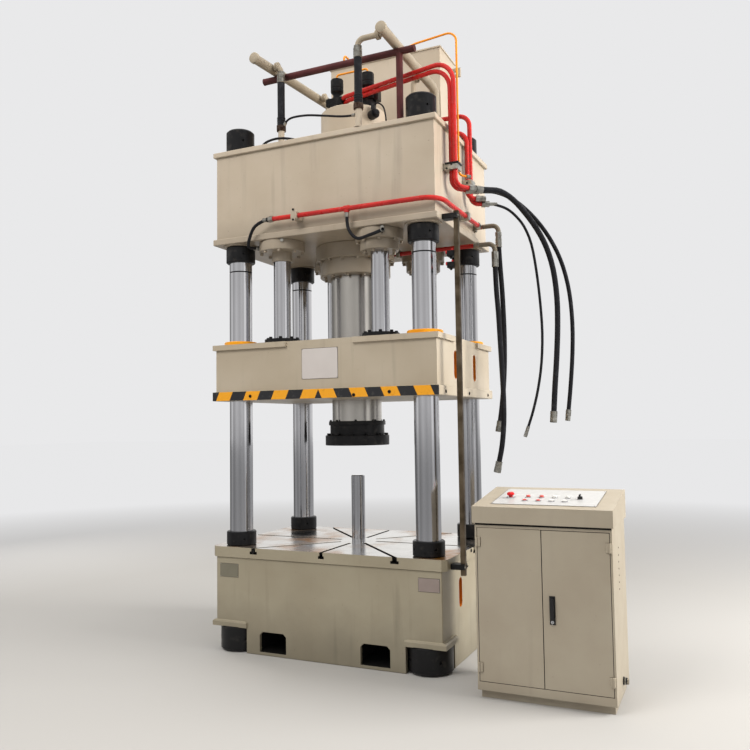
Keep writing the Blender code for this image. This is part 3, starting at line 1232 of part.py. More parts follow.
ESTOP_PLACE = (0.168, 0.227)
SELECTOR_PLACE = (0.564, 0.227)
BUTTON_XS = (0.265, 0.343, 0.418, 0.492)
BUTTON_Y = 0.160
LAMP_Y = 0.250
PANEL_MARGIN_X = 0.095
PANEL_FRONT = 0.070
PANEL_BACK = 0.455
PANEL_THICKNESS = 0.002
BUTTON_RADIUS = 0.011
BUTTON_RISE = 0.010
BUTTON_STEM = 0.015
BEZEL_RADIUS = 0.0165
BEZEL_HEIGHT = 0.005
LAMP_RADIUS = 0.012
LAMP_HEIGHT = 0.013
ESTOP_RADIUS = 0.021
ESTOP_STEM_RADIUS = 0.011
ESTOP_HEAD_BASE = 0.018
ESTOP_HEAD_HEIGHT = 0.018
ESTOP_COLLAR_RADIUS = 0.024
ESTOP_COLLAR_HEIGHT = 0.007
SELECTOR_RADIUS = 0.014
SELECTOR_HEIGHT = 0.012
SELECTOR_STEM_RADIUS = 0.009
SELECTOR_GRIP_WIDTH = 0.008
SELECTOR_GRIP_HEIGHT = 0.014
POCKET_DEPTH = 0.026
CONTROL_SIDES = 8


def desk_point(place, above=0.0):
    """A point above the sloping desk, measured along the desk's own normal."""
    across, back = place
    x = CABINET_X - DESK_WIDTH / 2 + across
    y = DESK_FRONT + back
    z = DESK_FRONT_TOP + back * DESK_SLOPE / DESK_DEPTH
    return Vector((x, y, z)) + desk_normal() * above


def desk_normal():
    return Vector((0, -math.sin(DESK_TILT), math.cos(DESK_TILT)))


def desk_rod(place, low, high, radius, sides=CONTROL_SIDES):
    return rod(desk_point(place, low), desk_point(place, high), radius, sides)


def make_cabinet(paint):
    left, right = CABINET_X - DESK_WIDTH / 2, CABINET_X + DESK_WIDTH / 2
    back = DESK_FRONT + DESK_DEPTH
    wedge = [(DESK_FRONT, DESK_BOTTOM), (DESK_FRONT, DESK_FRONT_TOP), (back, DESK_FRONT_TOP + DESK_SLOPE),
             (back, DESK_BOTTOM)]
    cabinet = solid("control_cabinet", side_prism(wedge, left, right), paint)
    shell = block((CABINET_LEFT, CABINET_FRONT, PLINTH_HEIGHT - BITE),
                  (CABINET_RIGHT, CABINET_BACK, DESK_BOTTOM + BITE))
    plinth = block((CABINET_LEFT + PLINTH_INSET, CABINET_FRONT + PLINTH_FRONT_INSET, 0),
                   (CABINET_RIGHT - PLINTH_INSET, CABINET_BACK - PLINTH_INSET, PLINTH_HEIGHT))
    join(cabinet, shell, plinth)
    inside_back = CABINET_BACK - CABINET_WALL
    cut(cabinet,
        block((CABINET_LEFT + CABINET_WALL, CABINET_FRONT + DOOR_THICKNESS, PLINTH_HEIGHT + CABINET_WALL),
              (CABINET_RIGHT - CABINET_WALL, inside_back, DESK_BOTTOM - CABINET_WALL)),
        block((DOORWAY_LEFT, CABINET_FRONT - OVERRUN, DOORWAY_BOTTOM),
              (DOORWAY_RIGHT, CABINET_FRONT + DOOR_THICKNESS + BITE, DOORWAY_TOP)))
    board_front = inside_back - BOARD_THICKNESS
    board_left, board_right = CABINET_LEFT + BOARD_MARGIN, CABINET_RIGHT - BOARD_MARGIN
    board_low, board_high = DOORWAY_BOTTOM + BOARD_MARGIN, DOORWAY_TOP - BOARD_MARGIN
    join(cabinet, block((board_left, board_front, board_low),
                        (board_right, inside_back + BITE, board_high)))
    pitch = (board_high - board_low) / GEAR_ROWS
    for row in range(GEAR_ROWS):
        low = board_low + pitch * (row + 1 / 2) - GEAR_HEIGHT / 2
        join(cabinet, block((board_left + BOARD_MARGIN, board_front - GEAR_DEPTH, low),
                            (board_right - BOARD_MARGIN, board_front + BITE, low + GEAR_HEIGHT)))
    for x, side in ((HINGE_LEFT_X, -1), (HINGE_RIGHT_X, 1)):
        for low in (DOORWAY_BOTTOM + HINGE_INSET, DOORWAY_TOP - HINGE_INSET - HINGE_HEIGHT):
            xs = sorted((x + side * GAP, x + side * DOOR_BORDER * 3 / 4))
            join(cabinet,
                 block((xs[0], HINGE_Y, low), (xs[1], CABINET_FRONT + BITE, low + HINGE_HEIGHT)),
                 rod((x, HINGE_Y, low), (x, HINGE_Y, low + HINGE_HEIGHT), HINGE_RADIUS))
    middle = (CABINET_FRONT + CABINET_BACK) / 2
    join(cabinet, rod((CABINET_RIGHT - BITE, middle, GLAND_LEVEL),
                      (CABINET_RIGHT + GLAND_LENGTH, middle, GLAND_LEVEL), GLAND_RADIUS))
    add_controls_to_desk(cabinet)
    return cabinet


def add_controls_to_desk(cabinet):
    """The raised panel with bezels, lamps and the pockets that the moving controls sit in."""
    half_x = DESK_WIDTH / 2 - PANEL_MARGIN_X
    middle = (DESK_WIDTH / 2, (PANEL_FRONT + PANEL_BACK) / 2)
    panel = block((-half_x, -(PANEL_BACK - PANEL_FRONT) / 2, -BITE),
                  (half_x, (PANEL_BACK - PANEL_FRONT) / 2, PANEL_THICKNESS))
    bmesh.ops.rotate(panel, cent=(0, 0, 0), matrix=Matrix.Rotation(DESK_TILT, 3, 'X'), verts=panel.verts)
    bmesh.ops.translate(panel, vec=desk_point(middle), verts=panel.verts)
    join(cabinet, panel)
    for x in BUTTON_XS:
        join(cabinet,
             desk_rod((x, BUTTON_Y), -BITE, PANEL_THICKNESS + BEZEL_HEIGHT, BEZEL_RADIUS),
             desk_rod((x, LAMP_Y), -BITE, PANEL_THICKNESS + LAMP_HEIGHT, LAMP_RADIUS))
        cut(cabinet, desk_rod((x, BUTTON_Y), -POCKET_DEPTH, OVERRUN, BUTTON_RADIUS + RUNNING_GAP))
    join(cabinet, desk_rod(ESTOP_PLACE, -BITE, PANEL_THICKNESS + ESTOP_COLLAR_HEIGHT, ESTOP_COLLAR_RADIUS),
         desk_rod(SELECTOR_PLACE, -BITE, PANEL_THICKNESS + BEZEL_HEIGHT, BEZEL_RADIUS))
    for place in (ESTOP_PLACE, SELECTOR_PLACE):
        cut(cabinet, desk_rod(place, -POCKET_DEPTH, OVERRUN, ESTOP_STEM_RADIUS + RUNNING_GAP))


def make_door(name, side, paint):
    """One door: its panel fills half the doorway, and its hinge leaves reach to the pins."""
    hinge_x = HINGE_LEFT_X if side < 0 else HINGE_RIGHT_X
    outer = hinge_x - side * DOOR_GAP
    inner = CABINET_X + side * DOOR_GAP / 2
    xs = sorted((outer, inner))
    door = solid(name, block((xs[0], CABINET_FRONT, DOORWAY_BOTTOM + DOOR_GAP),
                             (xs[1], CABINET_FRONT + DOOR_THICKNESS - GAP, DOORWAY_TOP - DOOR_GAP)), paint)
    near = hinge_x - side * (HINGE_RADIUS + RUNNING_GAP)
    leaf = sorted((near, near - side * HINGE_LEAF))
    for low in (DOORWAY_BOTTOM + HINGE_INSET, DOORWAY_TOP - HINGE_INSET - HINGE_HEIGHT):
        join(door, block((leaf[0], HINGE_Y, low), (leaf[1], CABINET_FRONT + BITE, low + HINGE_HEIGHT)))
    if side > 0:
        join(door, block((LATCH_X - ESCUTCHEON_WIDTH / 2, CABINET_FRONT - ESCUTCHEON_THICKNESS,
                          LATCH_TOP - ESCUTCHEON_HEIGHT),
                         (LATCH_X + ESCUTCHEON_WIDTH / 2, CABINET_FRONT + BITE, LATCH_TOP)))
    set_origin(door, (hinge_x, HINGE_Y, DOORWAY_BOTTOM))
    return door


# Latch handle on the right door

LATCH_OFFSET = 0.052        # from the middle of the cabinet to the latch
LATCH_TOP = 0.590
ESCUTCHEON_WIDTH = 0.030
ESCUTCHEON_HEIGHT = 0.150
ESCUTCHEON_THICKNESS = 0.004
LATCH_WIDTH = 0.022
LATCH_LENGTH = 0.118
LATCH_THICKNESS = 0.016
LATCH_PIVOT_DROP = 0.020

LATCH_X = CABINET_X + LATCH_OFFSET
LATCH_BACK = CABINET_FRONT - ESCUTCHEON_THICKNESS - GAP
LATCH_PIVOT = (LATCH_X, LATCH_BACK, LATCH_TOP - LATCH_PIVOT_DROP)


def make_latch(black):
    half = LATCH_WIDTH / 2
    top = LATCH_PIVOT[2] + half
    latch = solid("latch_handle", block((LATCH_X - half, LATCH_BACK - LATCH_THICKNESS, top - LATCH_LENGTH),
                                        (LATCH_X + half, LATCH_BACK, top), EDGE), black)
    set_origin(latch, LATCH_PIVOT)
    return latch


def make_button(name, x, finish):
    place = (x, BUTTON_Y)
    cap = desk_rod(place, -BUTTON_STEM, PANEL_THICKNESS + BUTTON_RISE, BUTTON_RADIUS)
    button = solid(name, cap, finish)
    set_origin(button, desk_point(place))
    return button


def make_estop(red):
    head = ESTOP_HEAD_BASE
    stop = solid("emergency_stop", desk_rod(ESTOP_PLACE, -BUTTON_STEM, head + BITE, ESTOP_STEM_RADIUS), red)
    join(stop, desk_rod(ESTOP_PLACE, head, head + ESTOP_HEAD_HEIGHT, ESTOP_RADIUS, ROD_SIDES))
    set_origin(stop, desk_point(ESTOP_PLACE))
    return stop


def make_selector(black):
    base = PANEL_THICKNESS + BEZEL_HEIGHT + GAP
    stem = desk_rod(SELECTOR_PLACE, -BUTTON_STEM, base + BITE, SELECTOR_STEM_RADIUS)
    knob = solid("selector_knob", stem, black)
    join(knob, desk_rod(SELECTOR_PLACE, base, base + SELECTOR_HEIGHT, SELECTOR_RADIUS))
    grip = block((-SELECTOR_GRIP_WIDTH / 2, -SELECTOR_RADIUS * 1.1, base + SELECTOR_HEIGHT - BITE),
                 (SELECTOR_GRIP_WIDTH / 2, SELECTOR_RADIUS * 1.1,
                  base + SELECTOR_HEIGHT + SELECTOR_GRIP_HEIGHT))
    bmesh.ops.rotate(grip, cent=(0, 0, 0), matrix=Matrix.Rotation(DESK_TILT, 3, 'X'), verts=grip.verts)
    bmesh.ops.translate(grip, vec=desk_point(SELECTOR_PLACE), verts=grip.verts)
    join(knob, grip)
    set_origin(knob, desk_point(SELECTOR_PLACE))
    return knob


# Free hoses that hang from the pipes on the right, each with a fitting on its end

HOSE_STEPS = 2
THIN_HOSE_STEPS = 3
HOSE_LEAD = 0.020           # straight length where a hose leaves its pipe
END_FITTING_LENGTH = 0.075
END_FITTING_RATIO = 1.35    # of the hose's radius

TAIL_HEADING = (math.cos(TAIL_ANGLE), math.sin(TAIL_ANGLE), 0)
RETURN_HEADING = (math.cos(RETURN_TAIL_ANGLE), math.sin(RETURN_TAIL_ANGLE), 0)


def beyond(end, heading):
    """Where a hose starts: just clear of the fitting that it leaves."""
    return Vector(end) + Vector(heading) * (BITE + GAP)


# Each hose: radius, start, heading at the start, curve steps, and the places that it hangs through.
HOSES = {
    "pressure_hose": (0.019, beyond(OUTER_TAIL, TAIL_HEADING), TAIL_HEADING, HOSE_STEPS, [
        (1.055, -0.155, 3.060), (1.115, -0.080, 3.062), (1.180, 0.000, 3.018), (1.240, 0.080, 2.940),
        (1.300, 0.145, 2.840), (1.350, 0.200, 2.720), (1.385, 0.236, 2.570), (1.402, 0.252, 2.380),
        (1.402, 0.250, 2.180), (1.392, 0.240, 1.970), (1.378, 0.226, 1.770), (1.368, 0.215, 1.600)]),
    "second_hose": (0.0145, beyond(INNER_TAIL, TAIL_HEADING), TAIL_HEADING, HOSE_STEPS, [
        (1.020, -0.135, 3.060), (1.078, -0.060, 3.068), (1.150, 0.035, 3.045), (1.230, 0.135, 2.980),
        (1.310, 0.228, 2.880), (1.380, 0.300, 2.750), (1.432, 0.345, 2.600), (1.465, 0.370, 2.420),
        (1.478, 0.378, 2.210), (1.474, 0.370, 2.000), (1.460, 0.352, 1.790), (1.444, 0.332, 1.610)]),
    "return_hose": (0.0095, beyond(RETURN_TAIL, RETURN_HEADING), RETURN_HEADING, THIN_HOSE_STEPS, [
        (1.040, 0.164, 3.035), (1.090, 0.192, 3.012), (1.140, 0.222, 2.965), (1.190, 0.252, 2.890),
        (1.230, 0.280, 2.770), (1.255, 0.300, 2.590), (1.272, 0.318, 2.370), (1.280, 0.325, 2.150),
        (1.270, 0.320, 1.940), (1.245, 0.305, 1.760), (1.212, 0.285, 1.610), (1.180, 0.265, 1.500)]),
    "side_hose": (0.018, Vector((ELBOW_X, SIDE_PIPE_BACK, ELBOW_END - GAP)), DOWN, HOSE_STEPS, [
        (1.002, 0.270, 2.740), (1.008, 0.268, 2.620), (1.018, 0.262, 2.480), (1.026, 0.256, 2.300),
        (1.030, 0.250, 2.120), (1.028, 0.244, 1.940), (1.020, 0.236, 1.780), (1.008, 0.226, 1.640),
        (0.996, 0.216, 1.540)]),
    "feed_hose": (0.018, Vector((FEED_ELBOW_X, FEED_PIPE_Y, FEED_ELBOW_END - GAP)), DOWN, HOSE_STEPS, [
        (1.011, 0.129, 2.570), (1.018, 0.120, 2.430), (1.032, 0.106, 2.270), (1.044, 0.090, 2.080),
        (1.056, 0.074, 1.890), (1.066, 0.060, 1.700), (1.066, 0.052, 1.530), (1.052, 0.048, 1.380),
        (1.030, 0.046, 1.270)])}


def make_hose(name, hose, rubber, steel):
    radius, start, heading, steps, points = hose
    lead = start + Vector(heading) * HOSE_LEAD
    route = [start] + smooth_route([lead] + points, steps)
    curve = bpy.data.curves.new(name, 'CURVE')
    curve.dimensions = '3D'
    curve.bevel_depth = radius
    curve.bevel_resolution = PIPE_SIDES // 4
    curve.use_fill_caps = True
    spline = curve.splines.new('POLY')
    spline.points.add(len(route) - 1)
    for point, place in zip(spline.points, route):
        point.co = (*place, 1)
    curve.materials.append(rubber)
    hanging = bpy.data.objects.new(name, curve)
    bpy.context.collection.objects.link(hanging)
    heading = (route[-1] - route[-2]).normalized()
    start = route[-1] + heading * GAP
    fitting = rod(start, start + heading * END_FITTING_LENGTH, radius * END_FITTING_RATIO, 6)
    return hanging, solid(name + "_fitting", fitting, steel)


def main():
    clear_scene()
    paint = material("press_paint", PAINT, 0.45, 0.0)
    steel = material("machined_steel", STEEL, 0.40, 1.0)
    chrome = material("hard_chrome", CHROME, 0.12, 1.0)
    black = material("black_oxide", BLACK, 0.45, 0.3)
    rubber = material("hose_rubber", RUBBER, 0.55, 0.0)
    red = material("red_pipe_paint", RED_PAINT, 0.35, 0.0)
    yellow = material("yellow_pipe_paint", YELLOW_PAINT, 0.35, 0.0)
    maroon = material("maroon_primer", MAROON, 0.55, 0.0)

    make_bed(paint)
    make_table(steel)
    for name, corner in CORNERS.items():
        make_column("column_" + name, corner, chrome)
        make_top_nut("top_nut_" + name, corner, black)
        make_side_cylinder("side_cylinder_" + name, corner, paint)
    make_crown(paint)
    make_oil_tank(paint)
    make_main_cylinder(paint)
    make_prefill_tank(paint)
    make_prefill_valve("prefill_valve_left", VALVE_LEFT_X, black, with_coil=False)
    make_prefill_valve("prefill_valve_right", VALVE_RIGHT_X, black, with_coil=True)
    make_pipe_rack(maroon)
    left_header = (-1, HEADER_LEFT_FRONT_X, HEADER_LEFT_BACK_X, BRANCH_LEFT_Y, BRANCH_REACH)
    right_header = (1, HEADER_RIGHT_FRONT_X, HEADER_RIGHT_BACK_X, BRANCH_RIGHT_Y, BRANCH_RIGHT_REACH)
    for name, header in (("left", left_header), ("right", right_header)):
        make_header("header_pipe_" + name, *header, paint)
        make_header_hose("header_hose_" + name, *header, rubber)
    make_pressure_pipes(red)
    make_return_pipe(red)
    make_front_pipe(red)
    make_drain_pipe(yellow)
    make_position_rail(black)
    make_ejector_cylinder(steel)
    make_ejector_rod(chrome)

    slide = make_slide(paint)
    ram = make_ram(chrome)
    carry(ram, make_ram_flange(black))
    rods = [make_side_rod("side_rod_" + name, corner, chrome) for name, corner in CORNERS.items()]
    carry(slide, ram, *rods)

    make_cabinet(paint)
    make_door("door_left", -1, paint)
    carry(make_door("door_right", 1, paint), make_latch(black))
    make_estop(red)
    make_selector(black)
    for number, x in enumerate(BUTTON_XS, start=1):
        make_button("button_" + str(number), x, black)

    for name, hose in HOSES.items():
        make_hose(name, hose, rubber, steel)
    for made in bpy.data.objects:
        if made.type == 'MESH':
            smooth_rounds(made)


main()
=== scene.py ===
# %% [markdown]
# # Dressing a four-column hydraulic press
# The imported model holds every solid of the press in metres, standing on z = 0 with its front towards -Y.
# This lesson gives each solid its surface: rounded edges, turned shapes, bolts, hoses, welds and paint.
# Every new piece sits where its solid sits, so nothing has to be fitted by eye.

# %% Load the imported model
import math

import bpy
from mathutils import Matrix, Vector


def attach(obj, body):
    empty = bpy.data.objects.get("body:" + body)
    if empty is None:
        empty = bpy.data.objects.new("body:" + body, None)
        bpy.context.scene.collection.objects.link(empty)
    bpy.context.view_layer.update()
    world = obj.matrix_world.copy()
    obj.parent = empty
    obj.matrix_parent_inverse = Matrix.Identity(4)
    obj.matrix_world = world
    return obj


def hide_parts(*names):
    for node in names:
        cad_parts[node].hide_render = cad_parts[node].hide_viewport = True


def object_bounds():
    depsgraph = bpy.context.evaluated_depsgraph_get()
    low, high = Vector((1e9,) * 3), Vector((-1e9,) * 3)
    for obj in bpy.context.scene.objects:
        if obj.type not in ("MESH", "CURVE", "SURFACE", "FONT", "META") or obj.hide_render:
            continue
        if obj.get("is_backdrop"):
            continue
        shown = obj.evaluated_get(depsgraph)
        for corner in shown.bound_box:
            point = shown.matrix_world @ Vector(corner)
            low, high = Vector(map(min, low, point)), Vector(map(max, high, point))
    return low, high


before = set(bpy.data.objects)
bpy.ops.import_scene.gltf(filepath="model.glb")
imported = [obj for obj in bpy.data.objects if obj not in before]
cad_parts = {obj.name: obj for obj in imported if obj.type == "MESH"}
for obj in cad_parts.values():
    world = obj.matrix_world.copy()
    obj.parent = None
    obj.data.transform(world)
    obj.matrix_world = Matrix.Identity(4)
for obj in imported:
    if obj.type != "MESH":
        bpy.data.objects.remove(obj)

cad_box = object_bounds()
print("the solids reach from", list(cad_box[0]), "to", list(cad_box[1]))

# %% [markdown]
# ## The camera
# A camera is a place, a direction and a lens. The press was seen from the front and a little from its right,
# at eye height, looking slightly up, and the camera leaned by less than a degree.
# Three unit vectors say all of that: right, up and back are the columns of the camera's matrix.

# %% Camera
CAMERA_PLACE = Vector((2.462, -5.052, 1.533))
LENS, SENSOR_WIDTH = 37.35, 36.0
yaw, pitch, lean = (math.radians(angle) for angle in (24.633, 3.588, 0.799))
ahead = Vector((-math.sin(yaw) * math.cos(pitch), math.cos(yaw) * math.cos(pitch), math.sin(pitch)))
level = Vector((math.cos(yaw), math.sin(yaw), 0))
upright = level.cross(ahead)
right = level * math.cos(lean) - upright * math.sin(lean)
above = upright * math.cos(lean) + level * math.sin(lean)
bpy.ops.object.camera_add(location=CAMERA_PLACE)
camera = bpy.context.object
camera.matrix_world = Matrix.Translation(CAMERA_PLACE) @ Matrix((right, above, -ahead)).transposed().to_4x4()
camera.data.lens = LENS
camera.data.sensor_width = SENSOR_WIDTH
bpy.context.scene.camera = camera
bpy.context.scene.view_settings.view_transform = 'Standard'
print("camera looks along", [round(value, 3) for value in ahead])

# %% [markdown]
# ## Working one piece at a time
# An operator acts on whatever is selected, so the first helper leaves exactly one piece selected and active.
# The others do what a modeller does by hand after shaping: bevel the hard edges, shade the round faces
# smoothly, and apply the place so that the object itself stays at the origin.

# %% Small helpers for selecting and finishing
ROUND_UP_TO = math.radians(35)
UP, DOWN = (0, 0, 1), (0, 0, -1)
TO_FRONT, TO_BACK, TO_RIGHT, TO_LEFT = (0, -1, 0), (0, 1, 0), (1, 0, 0), (-1, 0, 0)


def pick(piece):
    """Leaves only this piece selected, and makes it the active one."""
    bpy.ops.object.select_all(action='DESELECT')
    piece.select_set(True)
    bpy.context.view_layer.objects.active = piece


def name_it(piece, name):
    """The same name for the object and its mesh."""
    piece.name = name
    piece.data.name = name
    return piece


def bevelled(piece, width, segments=2):
    """Rounds the hard edges by a small width, as a real edge is broken."""
    pick(piece)
    bpy.ops.object.modifier_add(type='BEVEL')
    bevel = piece.modifiers[-1]
    bevel.width = width
    bevel.segments = segments
    bevel.limit_method = 'ANGLE'
    bevel.angle_limit = ROUND_UP_TO
    bpy.ops.object.modifier_apply(modifier=bevel.name)
    return flat_faces_even(piece)


def flat_faces_even(piece):
    """Smooth shading in which the large faces keep their own direction up to the rounded edge."""
    bpy.ops.object.shade_smooth_by_angle(angle=ROUND_UP_TO)
    bpy.ops.object.modifier_add(type='WEIGHTED_NORMAL')
    weighted = piece.modifiers[-1]
    weighted.keep_sharp = True
    bpy.ops.object.modifier_apply(modifier=weighted.name)
    return piece


def level_way(angle):
    """The level direction at an angle from +X."""
    return Vector((math.cos(angle), math.sin(angle), 0))


def put(piece, place=(0, 0, 0), facing=UP):
    """Turns a piece made round the upright axis to face a direction, moves it, and applies both."""
    pick(piece)
    piece.rotation_mode = 'QUATERNION'
    piece.rotation_quaternion = Vector(UP).rotation_difference(Vector(facing))
    piece.location = place
    bpy.ops.object.transform_apply(location=True, rotation=True, scale=True)
    return piece


def copied(piece, name):
    """A copy with a mesh of its own."""
    pick(piece)
    bpy.ops.object.duplicate()
    return name_it(bpy.context.object, name)


def united(name, pieces):
    """Joins pieces of one body into one object; each keeps its own material."""
    pick(pieces[0])
    for piece in pieces:
        piece.select_set(True)
    bpy.ops.object.join()
    return name_it(bpy.context.object, name)


def coat(piece, *finishes):
    """Gives a piece its finishes; the faces use the first one."""
    piece.data.materials.clear()
    for finish in finishes:
        piece.data.materials.append(finish)
    return piece


def hand_over(piece, body, slot, *stands_for):
    """The CAD body that carries a piece, its material slot in the record, which is not used, and the solids that it
    replaces.
    """
    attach(piece, body)
    if stands_for:
        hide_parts(*stands_for)
    print(piece.name, "rides on", body, "and stands for", ", ".join(stands_for) or "no solid")


# %% [markdown]
# ## Turned pieces, plates and pipes
# Most parts of a press come off a lathe, out of a plate or out of a pipe bender, and each has its own way here.
# A turned piece is one vertex extruded along half of its section and spun round the axis.
# A plate is a cube stretched to its size with broken edges. A pipe is a line given a round bevel.

# %% Lathe, plate and pipe
ROUND = 48
GAP = 0.0003
SAME_POINT = 0.00002
BEND_STEPS = 8
NEARLY_STRAIGHT = math.radians(88)


def lathe(name, profile, sides=ROUND, edge=0.0):
    """Spins (radius, height) points round the upright axis into a closed shell."""
    bpy.ops.object.select_all(action='DESELECT')
    bpy.ops.mesh.primitive_plane_add(size=0.01)
    piece = name_it(bpy.context.object, name)
    bpy.ops.object.mode_set(mode='EDIT')
    bpy.ops.mesh.select_mode(type='VERT')
    bpy.ops.mesh.select_all(action='SELECT')
    bpy.ops.mesh.merge(type='CENTER')
    bpy.ops.transform.translate(value=(profile[0][0], 0, profile[0][1]))
    for (radius, height), (next_radius, next_height) in zip(profile, profile[1:]):
        step = (next_radius - radius, 0, next_height - height)
        bpy.ops.mesh.extrude_region_move(TRANSFORM_OT_translate={"value": step})
    bpy.ops.mesh.select_all(action='SELECT')
    bpy.ops.mesh.spin(steps=sides, angle=math.tau, center=(0, 0, 0), axis=(0, 0, 1))
    bpy.ops.mesh.select_all(action='SELECT')
    bpy.ops.mesh.remove_doubles(threshold=SAME_POINT)
    bpy.ops.mesh.normals_make_consistent(inside=False)
    bpy.ops.object.mode_set(mode='OBJECT')
    return bevelled(piece, edge) if edge else flat_faces_even(piece)


def ring(inner, outer, bottom, top, edge):
    """The section of a plain ring with broken outer edges."""
    return [(inner, bottom), (outer - edge, bottom), (outer, bottom + edge), (outer, top - edge),
            (outer - edge, top), (inner, top), (inner, bottom)]


def bar(radius, bottom, top, edge):
    """The section of a solid round bar with broken edges."""
    return [(0, bottom), (radius - edge, bottom), (radius, bottom + edge), (radius, top - edge),
            (radius - edge, top), (0, top)]


def plate(name, low, high, edge=0.002, segments=2):
    """A flat block between two corners."""
    low, high = Vector(low), Vector(high)
    bpy.ops.object.select_all(action='DESELECT')
    bpy.ops.mesh.primitive_cube_add(size=1, location=(low + high) / 2)
    piece = name_it(bpy.context.object, name)
    piece.scale = high - low
    bpy.ops.object.transform_apply(location=True, rotation=True, scale=True)
    return bevelled(piece, edge, segments)


def bent(corners, *radii):
    """The corners of a pipe run, each inner corner turned into an arc. One radius, or one for each corner."""
    corners = [Vector(corner) for corner in corners]
    radii = list(radii) * (len(corners) if len(radii) == 1 else 1)
    route = [corners[0]]
    for before, corner, after, radius in zip(corners, corners[1:], corners[2:], radii):
        arriving, leaving = (before - corner).normalized(), (after - corner).normalized()
        half_angle = arriving.angle(leaving) / 2
        if half_angle > NEARLY_STRAIGHT:
            route.append(corner)
            continue
        setback = radius / math.tan(half_angle)
        hub = corner + (arriving + leaving).normalized() * (radius / math.sin(half_angle))
        first = (corner + arriving * setback - hub).normalized()
        last = (corner + leaving * setback - hub).normalized()
        route += [hub + first.slerp(last, step / BEND_STEPS) * radius for step in range(BEND_STEPS + 1)]
    route.append(corners[-1])
    return route


def smooth_route(points, steps):
    """Points along a smooth curve through the given ones."""
    points = [Vector(point) for point in points]
    padded = [points[0] * 2 - points[1]] + points + [points[-1] * 2 - points[-2]]
    route = []
    for a, b, c, d in zip(padded, padded[1:], padded[2:], padded[3:]):
        for step in range(steps):
            t = step / steps
            route.append((b * 2 + (c - a) * t + (a * 2 - b * 5 + c * 4 - d) * t ** 2
                          + (b * 3 - a - c * 3 + d) * t ** 3) / 2)
    route.append(points[-1])
    return route


def line_object(name, route, radius, fineness=3):
    """A curve object that follows the route with a round section."""
    bpy.ops.object.select_all(action='DESELECT')
    bpy.ops.object.add(type='CURVE')
    piece = name_it(bpy.context.object, name)
    curve = piece.data
    curve.dimensions = '3D'
    curve.bevel_depth = radius
    curve.bevel_resolution = fineness
    curve.use_fill_caps = True
    spline = curve.splines.new('POLY')
    spline.points.add(len(route) - 1)
    for point, place in zip(spline.points, route):
        point.co = (*place, 1)
    return piece


def pipe(name, route, radius, fineness=3):
    """A bent pipe as a mesh, shaded round."""
    piece = line_object(name, route, radius, fineness)
    pick(piece)
    bpy.ops.object.convert(target='MESH')
    piece = name_it(bpy.context.object, name)
    bpy.ops.object.shade_smooth_by_angle(angle=math.radians(50))
    return piece


# %% [markdown]
# ## Fasteners
# Every flange on the press is held by cap screws, and every joint in the pipework by a hexagon.
# Each is modelled once: the screw's head gets its socket by inset and extrude, and the copies go round a circle.

# %% A cap screw, a bolt head and rings of them
def cap_screw(radius, height):
    """A cylindrical head with a sunk socket, standing on z = 0."""
    bpy.ops.object.select_all(action='DESELECT')
    bpy.ops.mesh.primitive_cylinder_add(vertices=12, radius=radius, depth=height, location=(0, 0, height / 2))
    screw = name_it(bpy.context.object, "screw")
    bpy.ops.object.transform_apply(location=True, rotation=True, scale=True)
    for face in screw.data.polygons:
        face.select = face.normal.z > 0.9
    bpy.ops.object.mode_set(mode='EDIT')
    bpy.ops.mesh.select_mode(type='FACE')
    bpy.ops.mesh.inset(thickness=radius * 0.42)
    bpy.ops.mesh.extrude_region_move(TRANSFORM_OT_translate={"value": (0, 0, -height * 0.55)})
    bpy.ops.object.mode_set(mode='OBJECT')
    return bevelled(screw, radius * 0.10, 1)


def hexagon(radius, height, edge=None):
    """A hexagonal nut or bolt head with broken corners, standing on z = 0."""
    edge = edge or radius * 0.12
    return lathe("hexagon", bar(radius, 0, height, edge), 6)


def ringed(model, name, count, radius, level, turn=0.0, down=False):
    """Copies of a fastener in a circle round the upright axis; down hangs them from a lower face."""
    row = []
    for number in range(count):
        place = level_way(turn + math.tau * number / count) * radius + Vector((0, 0, level))
        row.append(put(copied(model, name), place, DOWN if down else UP))
    return united(name, row)


def four_corners(half_x, half_y):
    """The corners of a rectangle round the axis."""
    return [(x, y) for x in (-half_x, half_x) for y in (-half_y, half_y)]


def hex_between(name, start, end, radius):
    """A hexagon along any line."""
    start, end = Vector(start), Vector(end)
    nut = hexagon(radius, (end - start).length, radius * 0.08)
    return name_it(put(nut, start, end - start), name)


# %% [markdown]
# ## Effects that several finishes share
# Paint in a workshop is never one even colour: it is patchy, a little bumpy, grimy in streaks, and darker low down.
# Ground steel shows fine rings or lines. Each effect is a node group with named inputs and outputs,
# so that every material can use it at its own scale.

# %% Node helpers
def tone(red, green, blue):
    """A screen colour of 0 to 255 as the linear colour that Blender wants."""
    linear = [c / 12.92 if c <= 0.04045 else ((c + 0.055) / 1.055) ** 2.4
              for c in (red / 255, green / 255, blue / 255)]
    return (*linear, 1)


def node(tree, kind, **settings):
    """A new node with its settings."""
    made = tree.nodes.new(kind)
    for key, value in settings.items():
        setattr(made, key, value)
    return made


def feed(tree, socket, value):
    """Links a socket, or sets it to a plain number."""
    if isinstance(value, bpy.types.NodeSocket):
        tree.links.new(value, socket)
    else:
        socket.default_value = value


def maths(tree, operation, *values):
    """A Math node with linked or plain values."""
    step = node(tree, 'ShaderNodeMath', operation=operation)
    for socket, value in zip(step.inputs, values):
        feed(tree, socket, value)
    return step.outputs[0]


def spread(tree, value, from_low, from_high, to_low=0.0, to_high=1.0):
    """Stretches a value from one range to another, and holds it there."""
    step = node(tree, 'ShaderNodeMapRange')
    for label, number in (("Value", value), ("From Min", from_low), ("From Max", from_high),
                          ("To Min", to_low), ("To Max", to_high)):
        feed(tree, step.inputs[label], number)
    return step.outputs[0]


